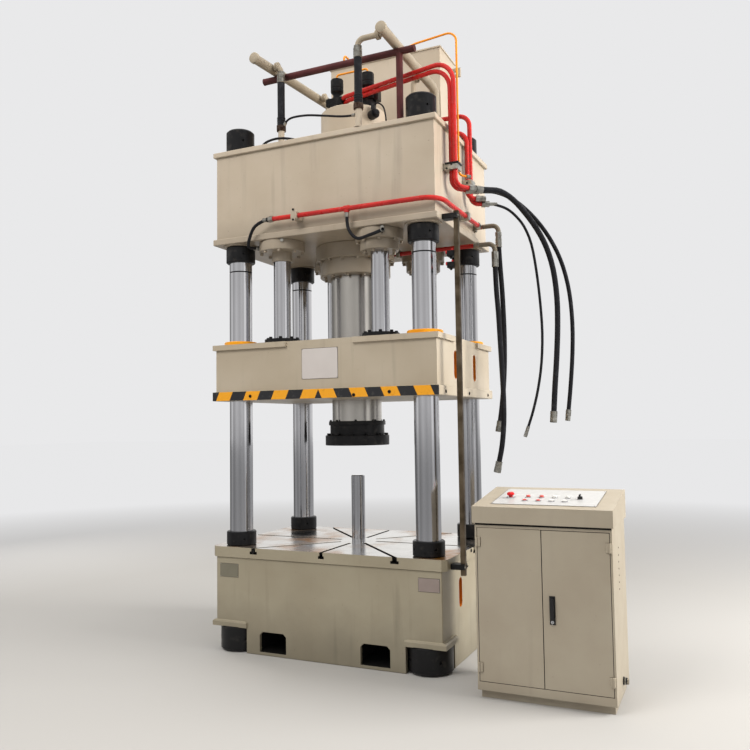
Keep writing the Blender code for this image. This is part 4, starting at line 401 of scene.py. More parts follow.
def noise(tree, place, scale, detail=3.0, stretch=None):
    """A cloud pattern; stretch squeezes or lengthens it along each axis."""
    if stretch:
        mapping = node(tree, 'ShaderNodeMapping')
        mapping.inputs["Scale"].default_value = stretch
        tree.links.new(place, mapping.inputs["Vector"])
        place = mapping.outputs[0]
    cloud = node(tree, 'ShaderNodeTexNoise')
    cloud.inputs["Detail"].default_value = detail
    tree.links.new(place, cloud.inputs["Vector"])
    feed(tree, cloud.inputs["Scale"], scale)
    return cloud.outputs["Fac"]


COLOUR_MIX_SOCKETS, COLOUR_MIX_RESULT = (0, 6, 7), 2


def blend_colours(tree, share, first, second):
    """Mixes two colours; a share of 1 gives the second one."""
    mix = node(tree, 'ShaderNodeMix', data_type='RGBA')
    for index, value in zip(COLOUR_MIX_SOCKETS, (share, first, second)):
        feed(tree, mix.inputs[index], value)
    return mix.outputs[COLOUR_MIX_RESULT]


def axes_of(tree, place):
    """The X, Y and Z of a vector."""
    split = node(tree, 'ShaderNodeSeparateXYZ')
    tree.links.new(place, split.inputs[0])
    return split.outputs


def new_group(name, inputs, outputs):
    """An empty node group with its end nodes. Its first input is a vector, the other sockets are numbers."""
    group = bpy.data.node_groups.new(name, 'ShaderNodeTree')
    for index, label in enumerate(inputs):
        kind = 'NodeSocketFloat' if index else 'NodeSocketVector'
        group.interface.new_socket(name=label, in_out='INPUT', socket_type=kind)
    for label in outputs:
        group.interface.new_socket(name=label, in_out='OUTPUT', socket_type='NodeSocketFloat')
    return group, group.nodes.new('NodeGroupInput'), group.nodes.new('NodeGroupOutput')


# %% Patchy colour and orange peel
patchy, start, end = new_group("patchy coat", ["Position", "Patch Scale", "Peel Scale"], ["Patches", "Peel"])
place = start.outputs["Position"]
broad = noise(patchy, place, start.outputs["Patch Scale"], 4.0)
patchy.links.new(spread(patchy, broad, 0.35, 0.65), end.inputs["Patches"])
patchy.links.new(noise(patchy, place, start.outputs["Peel Scale"], 1.0), end.inputs["Peel"])
print("patchy coat has", len(patchy.nodes), "nodes")

# %% Grime that runs down in streaks, and a darkening low down
grime_and_low, start, end = new_group("grime and low darkening", ["Position", "Low Level", "Reach"], ["Streaks", "Low Darkening", "Specks"])
place = start.outputs["Position"]
runs = spread(grime_and_low, noise(grime_and_low, place, 16.0, 3.0, (1.0, 1.0, 0.07)), 0.55, 0.75)
where = spread(grime_and_low, noise(grime_and_low, place, 1.7, 2.0), 0.42, 0.62)
grime_and_low.links.new(maths(grime_and_low, 'MULTIPLY', runs, where), end.inputs["Streaks"])
height = maths(grime_and_low, 'SUBTRACT', axes_of(grime_and_low, place)["Z"], start.outputs["Low Level"])
share = maths(grime_and_low, 'SUBTRACT', 1.0, maths(grime_and_low, 'DIVIDE', height, start.outputs["Reach"]))
ragged = maths(grime_and_low, 'ADD', share, maths(grime_and_low, 'SUBTRACT', noise(grime_and_low, place, 5.0, 5.0), 0.5))
grime_and_low.links.new(spread(grime_and_low, ragged, 0.0, 1.0), end.inputs["Low Darkening"])
grime_and_low.links.new(spread(grime_and_low, noise(grime_and_low, place, 70.0, 2.0), 0.72, 0.78), end.inputs["Specks"])
print("grime and low darkening has", len(grime_and_low.nodes), "nodes")

# %% Rings left by turning and grinding round the upright axis
turned_marks, start, end = new_group("turning marks", ["Position", "Fineness"], ["Rings", "Smears"])
place = start.outputs["Position"]
rings = noise(turned_marks, place, start.outputs["Fineness"], 2.0, (0.02, 0.02, 1.0))
turned_marks.links.new(rings, end.inputs["Rings"])
turned_marks.links.new(noise(turned_marks, place, 7.0, 4.0, (1.0, 1.0, 0.25)), end.inputs["Smears"])
print("node groups:", [group.name for group in bpy.data.node_groups])

# %% [markdown]
# ## The finishes
# Each finish is a Principled surface with the shared effects fed into its colour, roughness and bump.
# What is the same all over, such as the metallic value, is set on the shader's own socket.

# %% Finish helper
def new_finish(name, roughness=0.5, metallic=0.0, coat_weight=0.0):
    """An empty material: its tree, its shader and the object's own coordinates."""
    finish = bpy.data.materials.new(name)
    finish.use_nodes = True
    tree = finish.node_tree
    shader = tree.nodes["Principled BSDF"]
    shader.inputs["Roughness"].default_value = roughness
    shader.inputs["Metallic"].default_value = metallic
    shader.inputs["Coat Weight"].default_value = coat_weight
    place = node(tree, 'ShaderNodeTexCoord').outputs["Object"]
    return finish, tree, shader, place


def use_group(tree, group, place, **values):
    """Places a shared effect in a material, with its own values."""
    step = node(tree, 'ShaderNodeGroup', node_tree=group)
    tree.links.new(place, step.inputs["Position"])
    for label, value in values.items():
        step.inputs[label.replace("_", " ")].default_value = value
    return step.outputs


def bump(tree, shader, height, strength, distance):
    """Lets a height pattern DESK_TILT the surface."""
    step = node(tree, 'ShaderNodeBump')
    step.inputs["Strength"].default_value = strength
    step.inputs["Distance"].default_value = distance
    tree.links.new(height, step.inputs["Height"])
    tree.links.new(step.outputs[0], shader.inputs["Normal"])


def painted(name, colour, shade, roughness, grime=0.35, low=0.0, reach=0.25, speck=(70, 62, 50), patch=2.2):
    """Brushed or sprayed paint: patchy, with a slight orange peel, streaks, specks and a darkening low down."""
    finish, tree, shader, place = new_finish(name, roughness)
    coat_group = use_group(tree, patchy, place, Patch_Scale=patch, Peel_Scale=260.0)
    grime_and_darkening = use_group(tree, grime_and_low, place, Low_Level=low, Reach=reach)
    body = blend_colours(tree, coat_group["Patches"], tone(*shade), tone(*colour))
    darker = tone(*[part * 0.62 for part in colour])
    for label, strength, mark_tone in (("Streaks", grime, darker), ("Low Darkening", grime * 1.3, darker),
                                       ("Specks", grime, tone(*speck))):
        body = blend_colours(tree, maths(tree, 'MULTIPLY', grime_and_darkening[label], strength), body, mark_tone)
    tree.links.new(body, shader.inputs["Base Color"])
    rough = spread(tree, coat_group["Patches"], 0.0, 1.0, roughness + 0.08, roughness - 0.04)
    tree.links.new(rough, shader.inputs["Roughness"])
    bump(tree, shader, coat_group["Peel"], 0.12, 0.0006)
    return finish


# %% Paints
press_paint = painted("press paint", (182, 170, 151), (173, 160, 140), 0.36, 0.28)
# The bed's paint is the press paint made darker: painted shade, because the bed stands low and in shade.
bed_paint_shaded = painted("bed paint shaded", (163, 154, 133), (153, 143, 122), 0.44, 0.40, 0.0, 0.40)
crown_paint = painted("crown paint", (180, 167, 149), (171, 157, 138), 0.34, 0.36, 2.70, 0.30)
# The header paint is the press paint made darker: painted shade, as the header pipes lie in shade.
header_paint_shaded = painted("header paint shaded", (158, 146, 127), (142, 130, 112), 0.42, 0.45, 3.4, 0.2, patch=6.0)
cabinet_paint = painted("cabinet paint", (171, 161, 143), (165, 154, 136), 0.46, 0.16, 0.0, 0.12, patch=3.5)
pipe_red = painted("pipe red", (190, 34, 28), (168, 24, 22), 0.26, 0.25, patch=9.0, speck=(110, 30, 26))
pipe_yellow = painted("pipe yellow", (238, 152, 22), (222, 134, 16), 0.32, 0.25, patch=9.0, speck=(120, 80, 30))
primer = painted("maroon primer", (78, 32, 32), (62, 24, 26), 0.56, 0.35, patch=9.0, speck=(60, 30, 30))
wiper_orange = painted("wiper orange", (242, 164, 20), (228, 146, 14), 0.42, 0.30, patch=8.0, speck=(120, 80, 30))
slot_orange = painted("slot orange", (214, 128, 14), (190, 106, 10), 0.55, 0.40, patch=6.0)
print("ten paints made")

# %% Steel, chrome, oxide and rubber
def chromed(name, colour, low_rough, high_rough):
    """Hard chrome on a ground bar: nearly a mirror, with the faintest rings and oil smears."""
    finish, tree, shader, place = new_finish(name, low_rough, 1.0)
    marks = use_group(tree, turned_marks, place, Fineness=900.0)
    tree.links.new(blend_colours(tree, marks["Smears"], tone(*colour), tone(*[c * 0.88 for c in colour])),
                   shader.inputs["Base Color"])
    tree.links.new(spread(tree, marks["Smears"], 0.35, 0.7, low_rough, high_rough), shader.inputs["Roughness"])
    bump(tree, shader, marks["Rings"], 0.03, 0.0002)
    return finish


chrome = chromed("hard chrome", (206, 206, 210), 0.10, 0.20)
# The ram's chrome is the column chrome made darker: painted shade, for the slide's shadow on the ram.
ram_chrome_shaded = chromed("ram chrome shaded", (196, 192, 186), 0.16, 0.30)


def bare_steel(name, colour, dark, low_rough, high_rough, scale=14.0):
    """Bare steel with a cloudy, slightly oiled surface."""
    finish, tree, shader, place = new_finish(name, low_rough, 1.0)
    cloud = noise(tree, place, scale, 5.0)
    share = spread(tree, cloud, 0.35, 0.65)
    tree.links.new(blend_colours(tree, share, tone(*dark), tone(*colour)), shader.inputs["Base Color"])
    tree.links.new(spread(tree, cloud, 0.35, 0.65, high_rough, low_rough), shader.inputs["Roughness"])
    bump(tree, shader, noise(tree, place, scale * 30, 2.0), 0.10, 0.0003)
    return finish


fitting_steel = bare_steel("fitting steel", (188, 186, 178), (150, 146, 138), 0.28, 0.42, 40.0)
cylinder_steel = bare_steel("cylinder steel", (150, 146, 136), (110, 106, 98), 0.40, 0.60)
dull_bronze = bare_steel("rusty fitting", (112, 96, 86), (78, 60, 52), 0.45, 0.65, 50.0)
rail_steel = bare_steel("rail steel", (124, 110, 92), (92, 80, 64), 0.45, 0.62, 12.0)


def blackened(name, colour, worn, roughness, metallic):
    """Black oxide: soft black with brown and grey rubbed places."""
    finish, tree, shader, place = new_finish(name, roughness, metallic)
    shader.inputs["Specular IOR Level"].default_value = 0.30
    rubbed = spread(tree, noise(tree, place, 22.0, 6.0), 0.56, 0.70, 0.0, 0.6)
    tree.links.new(blend_colours(tree, rubbed, tone(*colour), tone(*worn)), shader.inputs["Base Color"])
    tree.links.new(spread(tree, noise(tree, place, 9.0, 3.0), 0.3, 0.7, roughness - 0.1, roughness + 0.12),
                   shader.inputs["Roughness"])
    bump(tree, shader, noise(tree, place, 400.0, 2.0), 0.15, 0.0003)
    return finish


black_oxide = blackened("black oxide", (19, 19, 21), (52, 49, 46), 0.40, 0.1)
dark_bolt = blackened("bolt black", (15, 15, 17), (44, 42, 40), 0.38, 0.1)
hose_rubber = blackened("hose rubber", (20, 20, 24), (42, 42, 46), 0.46, 0.0)
# The painted shade: a near black laid into hollows, gaps and holes where shade falls.
painted_shade = blackened("painted shade", (14, 13, 12), (26, 24, 22), 0.80, 0.0)
print("metals and rubber made")

# %% [markdown]
# The table is bare machined steel. Oil and rust have stained it amber in wide soft patches,
# and the planing tool has left fine lines from left to right.

# %% Table steel with amber stains
table_steel, tree, shader, place = new_finish("table steel", 0.25, 1.0)
stain_cloud, fine_cloud = noise(tree, place, 2.3, 6.0), noise(tree, place, 11.0, 6.0)
stain = maths(tree, 'MULTIPLY', spread(tree, stain_cloud, 0.45, 0.60), spread(tree, fine_cloud, 0.3, 0.6, 0.35, 1.0))
bare = blend_colours(tree, fine_cloud, tone(176, 174, 170), tone(214, 212, 208))
tree.links.new(blend_colours(tree, stain, bare, tone(158, 104, 22)), shader.inputs["Base Color"])
tree.links.new(spread(tree, stain_cloud, 0.4, 0.7, 0.16, 0.38), shader.inputs["Roughness"])
tree.links.new(spread(tree, stain, 0.0, 0.85, 1.0, 0.72), shader.inputs["Metallic"])
bump(tree, shader, noise(tree, place, 180.0, 2.0, (0.03, 1.0, 1.0)), 0.06, 0.0003)
print("table steel has", len(tree.nodes), "nodes")

# %% [markdown]
# The slide's front edge carries orange and black hazard stripes that lean towards the middle.
# The pattern needs no picture: the distance from the middle, plus a share of the height, is cut into
# equal steps, and every second step is orange. A little noise makes the black film look worn.

# %% Hazard stripes
SLIDE_PLATE_TOP = 1.767
STRIPE_PITCH, STRIPE_START, STRIPE_LEAN = 0.224, 0.111, 0.45
hazard, tree, shader, place = new_finish("hazard stripes", 0.36)
axes = axes_of(tree, place)
lowered = maths(tree, 'SUBTRACT', axes["Z"], SLIDE_PLATE_TOP)
along = maths(tree, 'ADD', maths(tree, 'ABSOLUTE', axes["X"]), maths(tree, 'MULTIPLY', lowered, STRIPE_LEAN))
step = maths(tree, 'FRACT', maths(tree, 'DIVIDE', maths(tree, 'SUBTRACT', along, STRIPE_START), STRIPE_PITCH))
worn = spread(tree, noise(tree, place, 30.0, 6.0), 0.62, 0.70, 0.0, 0.5)
orange = blend_colours(tree, worn, tone(236, 162, 30), tone(196, 130, 30))
black = blend_colours(tree, worn, tone(30, 30, 34), tone(74, 72, 70))
is_black = maths(tree, 'LESS_THAN', step, 0.5)
tree.links.new(blend_colours(tree, is_black, orange, black), shader.inputs["Base Color"])
tree.links.new(spread(tree, worn, 0.0, 0.5, 0.34, 0.55), shader.inputs["Roughness"])
print("a stripe every", STRIPE_PITCH, "m")

# %% Plates, panel and controls
def plain(name, colour, other, roughness, metallic=0.0, scale=30.0):
    """A small even surface that still varies a little."""
    finish, tree, shader, place = new_finish(name, roughness, metallic)
    cloud = noise(tree, place, scale, 4.0)
    tree.links.new(blend_colours(tree, cloud, tone(*colour), tone(*other)), shader.inputs["Base Color"])
    tree.links.new(spread(tree, cloud, 0.3, 0.7, roughness - 0.06, roughness + 0.08), shader.inputs["Roughness"])
    return finish


blank_plate = plain("blank plate", (206, 200, 196), (192, 184, 180), 0.42, scale=8.0)
rosy_plate = plain("rosy plate", (156, 142, 136), (138, 124, 118), 0.44, scale=12.0)
olive_plate = plain("olive plate", (128, 124, 108), (112, 107, 92), 0.44, scale=12.0)
plate_rim = plain("plate rim", (92, 86, 78), (76, 70, 62), 0.48)
panel_grey = plain("panel grey", (190, 189, 187), (182, 181, 179), 0.34)
strip_white = plain("strip white", (216, 216, 216), (204, 204, 206), 0.40)
knob_red = plain("knob red", (206, 30, 34), (188, 20, 24), 0.30)
knob_black = plain("knob black", (15, 15, 16), (24, 24, 25), 0.34)
button_white = plain("button white", (232, 230, 226), (220, 216, 212), 0.30)
button_red = plain("button red", (214, 92, 84), (200, 76, 70), 0.30)
lamp_white = plain("lamp white", (236, 236, 232), (226, 226, 222), 0.15)
bezel_chrome = plain("bezel chrome", (206, 206, 208), (190, 190, 192), 0.18, 1.0)
print(len(bpy.data.materials), "materials")

# %% [markdown]
# ## The five free hoses
# Five rubber hoses hang from the pipe ends on the right and run down to the pump set's connections.
# Each keeps its real length and thickness, so it is a curve with a round bevel and not a stretched mesh.
# It leaves its pipe straight, sags under its own weight, and ends in a crimped hexagon fitting.

# %% Routes of the hoses
TAIL_WAY, RETURN_WAY = level_way(math.radians(52)), level_way(math.radians(30))
TAIL_LEVEL = 3.051
HOSE_LEAD, CLEAR = 0.020, 0.0043


def tail_of(x, y, level, length, way):
    """The end of a pipe whose last bend is at x, y and level."""
    return Vector((x, y, level)) + way * length


OUTER_TAIL = tail_of(0.898, -0.360, TAIL_LEVEL, 0.150, TAIL_WAY)
INNER_TAIL = tail_of(0.865, -0.335, TAIL_LEVEL, 0.150, TAIL_WAY)
RETURN_TAIL = tail_of(0.867, 0.065, 3.047, 0.125, RETURN_WAY)

# Each hose: its radius, its start, the way it sets out, and the places it passes.
hoses = {
    "pressure_hose": (0.019, OUTER_TAIL + TAIL_WAY * CLEAR, TAIL_WAY, [
        (1.055, -0.155, 3.060), (1.115, -0.080, 3.062), (1.180, 0.000, 3.018), (1.240, 0.080, 2.940),
        (1.300, 0.145, 2.840), (1.350, 0.200, 2.720), (1.385, 0.236, 2.570), (1.402, 0.252, 2.380),
        (1.402, 0.250, 2.180), (1.392, 0.240, 1.970), (1.378, 0.226, 1.770), (1.368, 0.215, 1.600)]),
    "second_hose": (0.0145, INNER_TAIL + TAIL_WAY * CLEAR, TAIL_WAY, [
        (1.020, -0.135, 3.060), (1.078, -0.060, 3.068), (1.150, 0.035, 3.045), (1.230, 0.135, 2.980),
        (1.310, 0.228, 2.880), (1.380, 0.300, 2.750), (1.432, 0.345, 2.600), (1.465, 0.370, 2.420),
        (1.478, 0.378, 2.210), (1.474, 0.370, 2.000), (1.460, 0.352, 1.790), (1.444, 0.332, 1.610)]),
    "return_hose": (0.0095, RETURN_TAIL + RETURN_WAY * CLEAR, RETURN_WAY, [
        (1.040, 0.164, 3.035), (1.090, 0.192, 3.012), (1.140, 0.222, 2.965), (1.190, 0.252, 2.890),
        (1.230, 0.280, 2.770), (1.255, 0.300, 2.590), (1.272, 0.318, 2.370), (1.280, 0.325, 2.150),
        (1.270, 0.320, 1.940), (1.245, 0.305, 1.760), (1.212, 0.285, 1.610), (1.180, 0.265, 1.500)]),
    "side_hose": (0.018, Vector((1.000, 0.270, 2.8227)), DOWN, [
        (1.002, 0.270, 2.740), (1.008, 0.268, 2.620), (1.018, 0.262, 2.480), (1.026, 0.256, 2.300),
        (1.030, 0.250, 2.120), (1.028, 0.244, 1.940), (1.020, 0.236, 1.780), (1.008, 0.226, 1.640),
        (0.996, 0.216, 1.540)]),
    "feed_hose": (0.018, Vector((1.010, 0.130, 2.6557)), DOWN, [
        (1.011, 0.129, 2.570), (1.018, 0.120, 2.430), (1.032, 0.106, 2.270), (1.044, 0.090, 2.080),
        (1.056, 0.074, 1.890), (1.066, 0.060, 1.700), (1.066, 0.052, 1.530), (1.052, 0.048, 1.380),
        (1.030, 0.046, 1.270)]),
}
print(len(hoses), "hoses drawn")

# %% Hoses with a crimped ferrule at the top and a fitting at the end
def crimp(radius, length):
    """The section of a steel ferrule pressed onto a hose in three rings."""
    wide, narrow = radius * 1.30, radius * 1.22
    section = [(radius * 0.98, 0), (wide, 0)]
    for number in range(3):
        base = length * (0.12 + 0.26 * number)
        section += [(wide, base), (narrow, base + length * 0.04), (narrow, base + length * 0.12),
                    (wide, base + length * 0.16)]
    return section + [(wide, length * 0.94), (radius * 1.10, length), (radius * 0.98, length),
                      (radius * 0.98, 0)]


def end_fitting(name, radius):
    """A crimped sleeve, a collar and a hexagon with its bore, 75 mm long, along +Z."""
    sleeve = lathe(name, crimp(radius, 0.042), 32)
    nut = lathe(name, [(0, 0.041), (radius * 1.30, 0.041), (radius * 1.35, 0.043), (radius * 1.35, 0.073),
                       (radius * 1.26, 0.075), (radius * 0.75, 0.075), (radius * 0.75, 0.060), (0, 0.060)], 6)
    return united(name, [coat(sleeve, fitting_steel), coat(nut, fitting_steel)])


for name, (radius, start, heading, places) in hoses.items():
    route = [start] + smooth_route([start + Vector(heading) * HOSE_LEAD] + places, 3)
    hose = coat(line_object(name + "_rubber", route, radius, 4), hose_rubber)
    length = sum((b - a).length for a, b in zip(route, route[1:]))
    way = (route[-1] - route[-2]).normalized()
    fitting = put(end_fitting(name + "_end", radius), route[-1] + way * GAP, way)
    ferrule = put(coat(lathe(name + "_ferrule", crimp(radius, 0.055), 32), fitting_steel), start, heading)
    hand_over(hose, "frame", "hose_rubber", name)
    hand_over(fitting, "frame", "machined_steel", name + "_fitting")
    hand_over(ferrule, "frame", "machined_steel")
    tuple(start)
    print(name, "is", round(length, 2), "m long")

# %% [markdown]
# ## Softened copies of the welded boxes
# The bed, crown, slide, tank and cabinet already have the right shape. Their welded plates only lack broken edges.
# A copy of the solid is merged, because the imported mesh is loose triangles, its flat faces are joined into
# one, and a small bevel is applied. The copy then stands for the solid.

# %% Copying a solid and softening its edges
def softened(node_name, name, width=0.002, segments=2, chamfered=None, chamfer=0.009):
    """A copy of a solid with broken edges. Edges that pass the chamfered test get a flat chamfer first."""
    pick(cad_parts[node_name])
    bpy.ops.object.duplicate()
    piece = name_it(bpy.context.object, name)
    for key in list(piece.keys()):
        del piece[key]
    piece.parent = None
    bpy.ops.object.mode_set(mode='EDIT')
    bpy.ops.mesh.select_all(action='SELECT')
    bpy.ops.mesh.remove_doubles(threshold=SAME_POINT)
    bpy.ops.mesh.dissolve_limited(angle_limit=math.radians(1.0))
    if chamfered:
        bpy.ops.mesh.select_mode(type='EDGE')
        bpy.ops.mesh.select_all(action='DESELECT')
        bpy.ops.object.mode_set(mode='OBJECT')
        points = piece.data.vertices
        for edge in piece.data.edges:
            edge.select = chamfered(points[edge.vertices[0]].co, points[edge.vertices[1]].co)
        print(name, "has", sum(edge.select for edge in piece.data.edges), "chamfered edges")
        bpy.ops.object.mode_set(mode='EDIT')
        bpy.ops.mesh.bevel(offset=chamfer, segments=1, affect='EDGES')
        bpy.ops.mesh.select_mode(type='VERT')
    bpy.ops.object.mode_set(mode='OBJECT')
    return bevelled(piece, width, segments)


def repaint(piece, test, slot_number):
    """Gives another of the piece's materials to the faces that pass a test of centre and normal."""
    count = 0
    for face in piece.data.polygons:
        if test(face.center, face.normal):
            face.material_index = slot_number
            count += 1
    return count


# %% Bed
LEDGE_TOP, LEDGE_X, LEDGE_Y = 0.206, 0.851, 0.568
WALL_X, WALL_Y, WALL = 0.825, 0.555, 0.023
SLOT_Y = 0.205


def on_ledge_rim(a, b):
    """Both ends lie on the outer top edge of the ledges over the feet."""
    level = max(abs(a.z - LEDGE_TOP), abs(b.z - LEDGE_TOP)) < 0.001
    return level and (min(abs(a.x), abs(b.x)) > LEDGE_X - 0.0005 or min(abs(a.y), abs(b.y)) > LEDGE_Y - 0.0005)


def inside_bed(c, n):
    """The hollow of the bed, without the tops of the ledges."""
    ledge = n.z > 0.5 and 0.19 < c.z < 0.22
    return abs(c.x) < WALL_X - WALL and abs(c.y) < WALL_Y - WALL and 0.021 < c.z < 0.60 and not ledge


def in_bed_slot(c, n):
    """The walls of the hand slots in the bed's sides."""
    return (abs(abs(c.y) - SLOT_Y) < 0.0312 and 0.352 < c.z < 0.538
            and WALL_X - 0.0255 < abs(c.x) < WALL_X - 0.002)


# The bed's hollow gets the painted shade, and its hand slots are orange.
bed = coat(softened("bed_frame", "bed", 0.0025, chamfered=on_ledge_rim), bed_paint_shaded, painted_shade, slot_orange)
print("bed:", repaint(bed, inside_bed, 1), "inner faces,", repaint(bed, in_bed_slot, 2), "faces in the hand slots")
hand_over(bed, "frame", "press_paint", "bed_frame")

# %% [markdown]
# The table is planed bright on top and painted round its rim, and its T-slots are painted black as shade.
# The solid already has the slots, so three finishes on one copy are enough: the faces are chosen by place.

# %% Table plate: painted rim, bare top
def in_table_slot(c, n):
    """The walls and floors of the T-slots, below the top and inside the rim."""
    return 0.6355 < c.z < 0.7035 and abs(c.x) < 0.8555 and abs(c.y) < 0.5635 and abs(c.x) + abs(c.y) < 1.385


table = coat(softened("table_plate", "table", 0.0015), bed_paint_shaded, table_steel, painted_shade)
topped = repaint(table, lambda c, n: n.z > 0.7 and c.z > 0.7, 1)
print("table:", topped, "bare faces,", repaint(table, in_table_slot, 2), "faces in the slots")
hand_over(table, "frame", "machined_steel", "table_plate")

# %% [markdown]
# Crown, oil tank and slide are welded boxes in one paint. They need broken edges and nothing else,
# except in the slide's hand slots, whose walls are painted orange so that nobody reaches in by mistake.

# %% Crown, oil tank and slide
for solid, name in (("crown", "crown_box"), ("oil_tank", "tank")):
    hand_over(coat(softened(solid, name, 0.003), crown_paint), "frame", "press_paint", solid)
slide = coat(softened("slide", "slide_box", 0.003), press_paint, slot_orange)
lined = repaint(slide, lambda c, n: abs(abs(c.y) - SLOT_Y) < 0.0315 and 1.819 < c.z < 2.007
                and 0.69 < abs(c.x) < 0.820, 1)
print("slide:", lined, "faces in the hand slots")
hand_over(slide, "slide", "press_paint", "slide")

# %% [markdown]
# The cabinet is folded sheet. Its inside and the edges of its doors are painted near black as shade, so that the gap
# between door and frame shows as a thin dark line.

# %% Cabinet and doors
cabinet = coat(softened("control_cabinet", "cabinet", 0.0015), cabinet_paint, painted_shade)
inner = repaint(cabinet, lambda c, n: 1.120 < c.x < 1.850 and -0.7815 < c.y < -0.300 and 0.064 < c.z < 0.956, 1)
print("cabinet:", inner, "inner faces")
hand_over(cabinet, "frame", "press_paint", "control_cabinet")
for solid in ("door_left", "door_right"):
    door = coat(softened(solid, "panel_" + solid, 0.0012), cabinet_paint, painted_shade)
    # The door edges get the painted shade, the shade in the gap round each door.
    print(solid, "has", repaint(door, lambda c, n: abs(n.y) < 0.95 and c.y > -0.783, 1), "dark edge faces")
    hand_over(door, solid, "press_paint", solid)

# %% [markdown]
# ## The four columns
# Each column is a ground bar with a runout groove under the crown. Black locking collars clamp it to the table
# and to the crown, a broad nut sits under the bed, and a tall nut on top of the crown.
# The collars and nuts have blind holes for a pin spanner: a cutter of four round bars is subtracted.

# %% Collars and nuts with spanner holes
CORNERS = {"front_left": (-0.700, -0.435), "front_right": (0.700, -0.435),
           "rear_left": (-0.700, 0.435), "rear_right": (0.700, 0.435)}
BORE = 0.0803
COLLAR, FOOT_NUT, TOP_NUT, BOSS = 0.102, 0.142, 0.100, 0.122


def spanner_ring(name, radius, bottom, top, edge, level, hole=0.0075, count=4, depth=0.011):
    """A ring round a column, with blind holes in its side at a level."""
    piece = lathe(name, ring(BORE, radius, bottom, top, edge), 64)
    drills = []
    for number in range(count):
        way = level_way(math.tau * (number + 0.5) / count)
        drill = lathe("drill", bar(hole, 0, 0.05, 0.0005), 12)
        drills.append(put(drill, way * (radius - depth) + Vector((0, 0, level)), way))
    cutter = united("drill", drills)
    pick(piece)
    bpy.ops.object.modifier_add(type='BOOLEAN')
    subtract = piece.modifiers[-1]
    subtract.operation = 'DIFFERENCE'
    subtract.object = cutter
    bpy.ops.object.modifier_apply(modifier=subtract.name)
    bpy.data.objects.remove(cutter)
    pick(piece)
    bpy.ops.object.shade_smooth_by_angle(angle=ROUND_UP_TO)
    return piece


def set_screws(piece, radius, level):
    """Two small clamping screws in the side of a collar."""
    heads = [piece]
    for way in (level_way(math.radians(-60)), level_way(math.radians(-84))):
        heads.append(put(cap_screw(0.0065, 0.004), way * (radius - 0.001) + Vector((0, 0, level)), way))
    return united("collar", heads)


low_collar = spanner_ring("collar", COLLAR, 0.7053, 0.8013, 0.006, 0.753)
high_collar = spanner_ring("collar", COLLAR, 2.6877, 2.7997, 0.006, 2.744)
foot_nut = spanner_ring("collar", FOOT_NUT, 0.008, 0.1697, 0.008, 0.085, 0.010)
top_nut = coat(spanner_ring("top_nut", TOP_NUT, 3.4773, 3.647, 0.012, 3.560, 0.008), black_oxide)
collars = [set_screws(low_collar, COLLAR, 0.735), set_screws(high_collar, COLLAR, 2.712)]
black_rings = coat(united("collars", collars + [foot_nut]), black_oxide)
print("collars have", len(black_rings.data.polygons), "faces")

# %% Column bar with its groove, and the boss under the crown
shaft_section = [(0, 0.010), (0.076, 0.010), (0.080, 0.014), (0.080, 2.6155), (0.0775, 2.6165), (0.0775, 2.6235),
                 (0.080, 2.6245), (0.080, 3.635), (0.074, 3.641), (0, 3.641)]
shaft = coat(lathe("column", shaft_section, 96), chrome, dark_bolt)
repaint(shaft, lambda c, n: 2.6156 < c.z < 2.6244, 1)
boss = coat(lathe("boss", ring(BORE, BOSS, 2.8003, 2.8083, 0.001), 64), crown_paint)
for corner, (x, y) in CORNERS.items():
    for model, name, slot, solids in ((shaft, "column_bar_", "hard_chrome", ["column_" + corner]),
                                      (black_rings, "column_nuts_", "black_oxide", []),
                                      (boss, "column_boss_", "press_paint", []),
                                      (top_nut, "crown_nut_", "black_oxide", ["top_nut_" + corner])):
        hand_over(put(copied(model, name + corner), (x, y, 0)), "frame", slot, *solids)
for model in (shaft, black_rings, boss, top_nut):
    bpy.data.objects.remove(model)

# %% [markdown]
# ## Cylinders, ram and rods
# The drum of the main cylinder hangs under the crown, and the ram comes down from it through the slide.
# Four side cylinders lift the slide by their rods. All of these are turned, and every flange is bolted.

# %% Main cylinder, its bolts and feed pipe
def feed_at(x, z=2.766):
    """A point of the feed pipe, which keeps to one plane."""
    return x, 0.130, z


drum = coat(lathe("drum", [
    (0, 3.612), (0.187, 3.612), (0.187, 2.690), (0.1785, 2.686), (0.1785, 2.590), (0.250, 2.590), (0.255, 2.595),
    (0.255, 2.6997), (0.281, 2.6997), (0.285, 2.7037), (0.285, 2.8037), (0.281, 2.8077), (0.2149, 2.8077),
    (0.2149, 3.653), (0.211, 3.657), (0, 3.657), (0, 3.612)], 96), crown_paint)
head, small_head = coat(cap_screw(0.0115, 0.015), dark_bolt), coat(cap_screw(0.0080, 0.010), dark_bolt)
painted_head = coat(cap_screw(0.0115, 0.015), crown_paint)
drum_bolts = ringed(painted_head, "drum_bolts", 16, 0.2705, 2.700, 0.1, down=True)
gland_bolts = ringed(painted_head, "drum_bolts", 12, 0.222, 2.5905, 0.2, down=True)
elbow = bent([feed_at(0.880), feed_at(1.010), feed_at(1.010, 2.706)], 0.045)
feed_pieces = [coat(pipe("feed", [feed_at(0.200), feed_at(0.885)], 0.0155), pipe_red),
               coat(pipe("feed", elbow, 0.0165), header_paint_shaded),
               coat(hex_between("feed", feed_at(0.862), feed_at(0.900), 0.022), fitting_steel),
               coat(hex_between("feed", feed_at(1.010, 2.710), feed_at(1.010, 2.656), 0.024), fitting_steel),
               coat(put(lathe("feed", ring(0.010, 0.030, 0, 0.030, 0.003), 32), feed_at(0.276), TO_RIGHT),
                    fitting_steel)]
hand_over(united("main_cylinder_turned", [drum, drum_bolts, gland_bolts] + feed_pieces),
          "frame", "press_paint", "main_cylinder")
